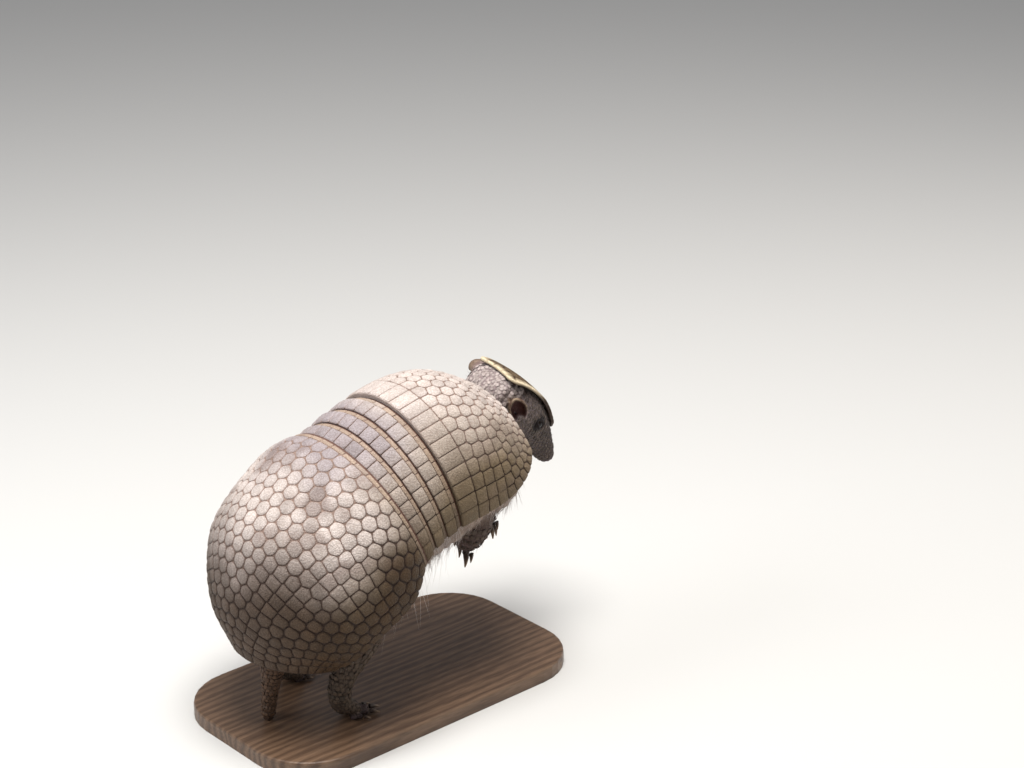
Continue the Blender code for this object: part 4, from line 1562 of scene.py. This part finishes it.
def add_limb_scales(skin, finish):
    """Rows of scales round the tail, the limbs and the toes."""
    names = skin["names"]
    tail = scale_rows(skin, names.index("tail"), tube(TAIL), (0.03, 0.96), (3.1, 2.1))
    limb_rows, small_rows = [], []
    for word, side in SIDES.items():
        hind, fore = names.index(f"hindleg_{word}"), names.index(f"foreleg_{word}")
        leg = on_soles(tube(mirrored(HIND_LEG, side)))
        limb_rows.append(scale_rows(skin, hind, leg, (0.30, 0.93), (3.4, 2.3)))
        arm = tube(mirrored(FORE_LEGS[word], side))
        limb_rows.append(scale_rows(skin, fore, arm, (0.30, 0.93), (3.2, 2.2)))
        for part, toes in ((hind, hind_toes(side)), (fore, fore_toes(word, side))):
            for path, _ in toes:
                small_rows.append(scale_rows(skin, part, tube(path), (0.2, 0.86), (1.5, 1.3)))
    add_scales("tail_scales", tail, (EARTH * 1.5, 0.45), 0.30, finish)
    # the leg scales drawn towards a dark khaki, partly painted shade
    add_scales("leg_scales", np.concatenate(limb_rows), (KHAKI * 0.42, 0.40), 0.27, finish)
    add_scales("toe_scales", np.concatenate(small_rows), (KHAKI * 0.35, 0.30), 0.24, finish)


def add_body_hair(skin, finish):
    """Hair on the belly, along the shell's lower margins and on the limbs."""
    share, body = skin["share"], skin["points"] / MM - SHIFT
    down = np.array((-0.45, 0.0, -1.0))
    rim = shell_margin_distance(skin["points"])
    loin = (body[:, 0] > 50) & (body[:, 0] < 96)
    fringe = scattered(skin, (rim < 5.0) & loin, 1.25, down, 1.0)
    add_hairs("fringe_hair", fringe, (5.0, 11.0), 0.09, 0.45, 0.45, (CREAM, 0.8), finish)
    long = scattered(skin, (rim < 9.0) & loin, 5.5, down, 1.0)
    add_hairs("long_hair", long, (12.0, 24.0), 0.10, 0.40, 0.55, (CREAM, 0.8), finish)
    belly = (share["trunk"] > 0.5) & (rim >= 3.0)
    under = scattered(skin, belly, 1.9, (-1.0, 0.0, -0.4), 1.0)
    add_hairs("belly_hair", under, (4.0, 9.0), 0.09, 0.30, 0.20, (CREAM, 0.6), finish)
    pairs = product(("foreleg", "hindleg"), ("left", "right"))
    limbs = sum(share["_".join(pair)] for pair in pairs)
    legs = scattered(skin, (limbs > 0.5) & (body[:, 2] > 9), 2.8, (-0.35, 0.0, -1.0), 1.0)
    add_hairs("leg_hair", legs, (1.8, 3.8), 0.08, 0.30, 0.10, (KHAKI, 0.5), finish)


def make_coat(skin, scale_finish, strand_finish):
    """Scales on the limbs, the tail and the head, and then hair on the body and the head."""
    add_limb_scales(skin, scale_finish)
    share, local = skin["share"], to_head(skin["points"])
    forward, eye = local[:, 0], eye_distance(local)
    backward = -head_direction((1.0, 0.0, 0.0))
    muzzle = (share["head"] > 0.5) & (forward > 2) & (forward < 62)
    nape = (share["neck"] > 0.5) | ((share["head"] > 0.5) & (forward <= 2))
    cheek = muzzle & (eye > 5.4) & (local[:, 2] > -9.0)
    face = [
        scattered(skin, cheek & (forward < 44), 1.45, backward, 1.95),
        scattered(skin, cheek & (forward >= 44), 1.10, backward, 1.40),
    ]
    tint, tones = (KHAKI * 0.70, 0.42), (0.55, 1.50)
    add_scales("face_scales", np.concatenate(face), tint, 0.17, scale_finish, tones)
    nape_rows = scattered(skin, nape, 1.75, backward, 2.5)
    tint, tones = (CREAM * 0.82, 0.55), (0.84, 1.14)
    add_scales("nape_scales", nape_rows, tint, 0.17, scale_finish, tones)
    add_body_hair(skin, strand_finish)
    bristles = [
        scattered(skin, muzzle & (eye > 4.6), 1.7, backward, 1.0),
        scattered(skin, nape, 2.1, backward, 1.0),
    ]
    rows, tint = np.concatenate(bristles), (CREAM * 0.8, 0.5)
    add_hairs("head_hair", rows, (2.0, 4.6), 0.08, 0.30, 0.08, tint, strand_finish)


def shell_margin_distance(points):
    """How far each point is from the shell's lower margins, in millimetres."""
    t = np.linspace(0.02, 0.86, 160)
    angle = np.radians(smooth(WRAP, t)[0])
    margins = [shell_point(t, side * angle, -TRUNK_INSET) for side in (RIGHT, LEFT)]
    tree = tree_of(place(np.concatenate(margins)))
    return np.array([tree.find(Vector(point))[2] / MM for point in points])


# ------------------------------------------------------------------------------------ finishes


def new_finish(name):
    """A new material, its node tree and its shader."""
    made = bpy.data.materials.new(name)
    made.use_nodes = True
    tree = made.node_tree
    return made, tree, tree.nodes["Principled BSDF"]


def node(tree, kind, links=(), **settings):
    """A shader node. A setting is one of its own, or else names a socket."""
    made = tree.nodes.new(kind)
    for key, value in settings.items():
        if hasattr(made, key):
            setattr(made, key, value)
        else:
            made.inputs[key.replace("_", " ")].default_value = value
    for socket, source in links:
        tree.links.new(source, made.inputs[socket])
    return made


def mixed(tree, kind, share, first, second):
    """A colour mix. share, first and second are each a number or colour, or a socket."""
    made = tree.nodes.new("ShaderNodeMix")
    made.data_type = "RGBA"
    made.blend_type = kind
    for socket, value in ((0, share), (6, first), (7, second)):
        if isinstance(value, bpy.types.NodeSocket):
            tree.links.new(value, made.inputs[socket])
        else:
            made.inputs[socket].default_value = value
    return made.outputs[2]


def scaled(tree, value, low, high, to_low, to_high):
    """The value, taken from the range low to high to the range to_low to to_high."""
    made = node(tree, "ShaderNodeMapRange", [("Value", value)])
    for socket, number in zip(made.inputs[1:5], (low, high, to_low, to_high)):
        socket.default_value = number
    return made.outputs[0]


def wash_and_place(tree):
    """The piece's own colouring and its coordinates, as sockets."""
    wash = node(tree, "ShaderNodeAttribute", attribute_name="wash").outputs["Color"]
    return wash, node(tree, "ShaderNodeTexCoord").outputs["Object"]


def cloudy(tree, coordinates, size, detail):
    """Noise with features of about size millimetres."""
    links = [("Vector", coordinates)]
    made = node(tree, "ShaderNodeTexNoise", links, Scale=1 / (size * MM), Detail=detail)
    return made.outputs["Fac"]


def grained_finish(name, grain, depth, blotch, roughness):
    """A horny or leathery finish: the wash, blotched and darker in the grains' hollows, with fine
    grains raised on it.

    grain and blotch are sizes, and depth how far the grains stand up, all in millimetres.
    """
    made, tree, shader = new_finish(name)
    wash, coordinates = wash_and_place(tree)
    wide = cloudy(tree, coordinates, blotch, 6.0)
    fine = cloudy(tree, coordinates, 0.5, 4.0)
    links = [("Vector", coordinates)]
    grains = node(tree, "ShaderNodeTexVoronoi", links, Scale=1 / (grain * MM)).outputs["Distance"]
    pits = scaled(tree, grains, 0.15, 0.75, 0.0, 1.0)
    blotches = mixed(tree, "MIX", wide, (0.74, 0.70, 0.66, 1), (1.22, 1.2, 1.18, 1))
    colour = mixed(tree, "MULTIPLY", 1.0, wash, blotches)
    # colour darker in the grains' hollows, where the bump lies lowest
    hollow_darkening = scaled(tree, pits, 0.2, 1.0, 0.0, 0.35)
    colour = mixed(tree, "MULTIPLY", hollow_darkening, colour, (0.42, 0.33, 0.27, 1))
    specks = scaled(tree, fine, 0.35, 0.68, 0.84, 1.14)
    colour = mixed(tree, "MULTIPLY", 1.0, colour, specks)
    tree.links.new(colour, shader.inputs["Base Color"])
    rough = scaled(tree, wide, 0.3, 0.7, roughness - 0.09, roughness + 0.09)
    tree.links.new(rough, shader.inputs["Roughness"])
    links = [(0, scaled(tree, pits, 0.0, 1.0, 1.0, 0.0)), (1, fine)]
    height = node(tree, "ShaderNodeMath", links, operation="ADD").outputs[0]
    bump = node(tree, "ShaderNodeBump", [("Height", height)], Strength=0.9, Distance=depth * MM)
    tree.links.new(bump.outputs["Normal"], shader.inputs["Normal"])
    shader.inputs["Specular IOR Level"].default_value = 0.25
    return made


def hair_finish(name):
    """Plain coarse hair: its wash, a little mottled along each strand."""
    made, tree, shader = new_finish(name)
    wash, coordinates = wash_and_place(tree)
    mottling = scaled(tree, cloudy(tree, coordinates, 0.8, 3.0), 0.3, 0.7, 0.8, 1.15)
    tree.links.new(mixed(tree, "MULTIPLY", 1.0, wash, mottling), shader.inputs["Base Color"])
    shader.inputs["Roughness"].default_value = 0.45
    return made


def wood_finish(name):
    """Oiled walnut, its grain running along the base."""
    made, tree, shader = new_finish(name)
    links = [("Vector", node(tree, "ShaderNodeTexCoord").outputs["Object"])]
    drawn = node(tree, "ShaderNodeMapping", links, Scale=(0.12, 1.0, 1.0)).outputs[0]
    links = [("Vector", drawn)]
    settings = {"bands_direction": "Y", "Scale": 60.0, "Distortion": 9.0, "Detail": 4.0}
    rings = node(tree, "ShaderNodeTexWave", links, **settings).outputs["Fac"]
    pores = node(tree, "ShaderNodeTexNoise", links, Scale=900.0, Detail=3.0).outputs["Fac"]
    colour = mixed(tree, "MIX", rings, (0.085, 0.047, 0.027, 1), (0.165, 0.098, 0.058, 1))
    colour = mixed(tree, "MULTIPLY", 1.0, colour, scaled(tree, pores, 0.3, 0.7, 0.75, 1.15))
    tree.links.new(colour, shader.inputs["Base Color"])
    tree.links.new(scaled(tree, pores, 0.3, 0.7, 0.48, 0.36), shader.inputs["Roughness"])
    bump = node(tree, "ShaderNodeBump", [("Height", pores)], Strength=0.5, Distance=0.05 * MM)
    tree.links.new(bump.outputs["Normal"], shader.inputs["Normal"])
    return made


def finish_stand(finish):
    """The base keeps its own mesh, with a better finish in its slots."""
    for slot in bpy.data.objects["stand_base"].material_slots:
        slot.material = finish


# ------------------------------------------------------------------------------- camera, light


def make_camera():
    """The view from behind the right flank, a little above the back."""
    back = Vector(CAMERA_BACK).normalized()
    right = Vector(CAMERA_RIGHT).normalized()
    right = (right - right.dot(back) * back).normalized()
    camera = bpy.data.cameras.new("camera")
    camera.lens, camera.sensor_width, camera.clip_start = LENS, SENSOR, 0.01
    made = bpy.data.objects.new("camera", camera)
    matrix = Matrix((right, back.cross(right), back)).transposed().to_4x4()
    matrix.translation = CAMERA_AT
    made.matrix_world = matrix
    bpy.context.scene.collection.objects.link(made)
    bpy.context.scene.camera = made


def add_area(name, at, size, power, colour):
    """A round soft light that faces the animal."""
    light = bpy.data.lights.new(name, "AREA")
    light.shape, light.size, light.energy, light.color = "DISK", size, power, colour
    made = bpy.data.objects.new(name, light)
    made.location = at
    made.rotation_euler = (LIT_POINT - Vector(at)).to_track_quat("-Z", "Y").to_euler()
    bpy.context.scene.collection.objects.link(made)


def make_light():
    """Three soft lights under a pale sky."""
    add_area("key_light", (-0.10, -0.12, 1.35), 0.7, 24.0, (1.0, 0.98, 0.95))
    add_area("side_light", (-1.1, 0.5, 0.8), 0.9, 9.0, (0.93, 0.96, 1.0))
    add_area("front_light", (1.1, -0.5, 0.6), 0.9, 4.0, (1.0, 0.96, 0.92))
    world = bpy.data.worlds.new("studio")
    world.use_nodes = True
    sky = world.node_tree.nodes["Background"]
    sky.inputs["Color"].default_value = (0.93, 0.95, 1.0, 1.0)
    sky.inputs["Strength"].default_value = 0.30
    bpy.context.scene.world = world
    bpy.context.scene.view_settings.view_transform = "Standard"


def make_floor():
    """A plain pale floor, which isn't part of the model."""
    bm = bmesh.new()
    bmesh.ops.create_grid(bm, x_segments=1, y_segments=1, size=20.0)
    mesh = mesh_from(bm)
    mesh.name = "floor"
    finish, _, shader = new_finish("pale_floor")
    shader.inputs["Base Color"].default_value = (0.62, 0.61, 0.59, 1.0)
    shader.inputs["Roughness"].default_value = 0.85
    mesh.materials.append(finish)
    floor = bpy.data.objects.new("floor", mesh)
    bpy.context.scene.collection.objects.link(floor)
    floor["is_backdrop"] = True


def main():
    make_camera()
    make_light()
    make_floor()
    shell = grained_finish("scute_horn", 1.0, 0.22, 9.0, 0.62)
    make_shell(shell)
    make_head_shield(shell)
    skin = grained_finish("leathery_skin", 0.9, 0.16, 7.0, 0.70)
    body = make_skin(skin)
    scales = grained_finish("small_scales", 0.5, 0.05, 5.0, 0.58)
    make_coat(body, scales, hair_finish("hair"))
    make_eyes(grained_finish("eye_gloss", 0.9, 0.0, 7.0, 0.08))
    make_claws(grained_finish("claw_horn", 0.6, 0.03, 4.0, 0.40))
    finish_stand(wood_finish("oiled_walnut"))


main()
boxes = {"cad": cad_box, "visual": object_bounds()}
{key: [list(corner) for corner in box] for key, box in boxes.items()}
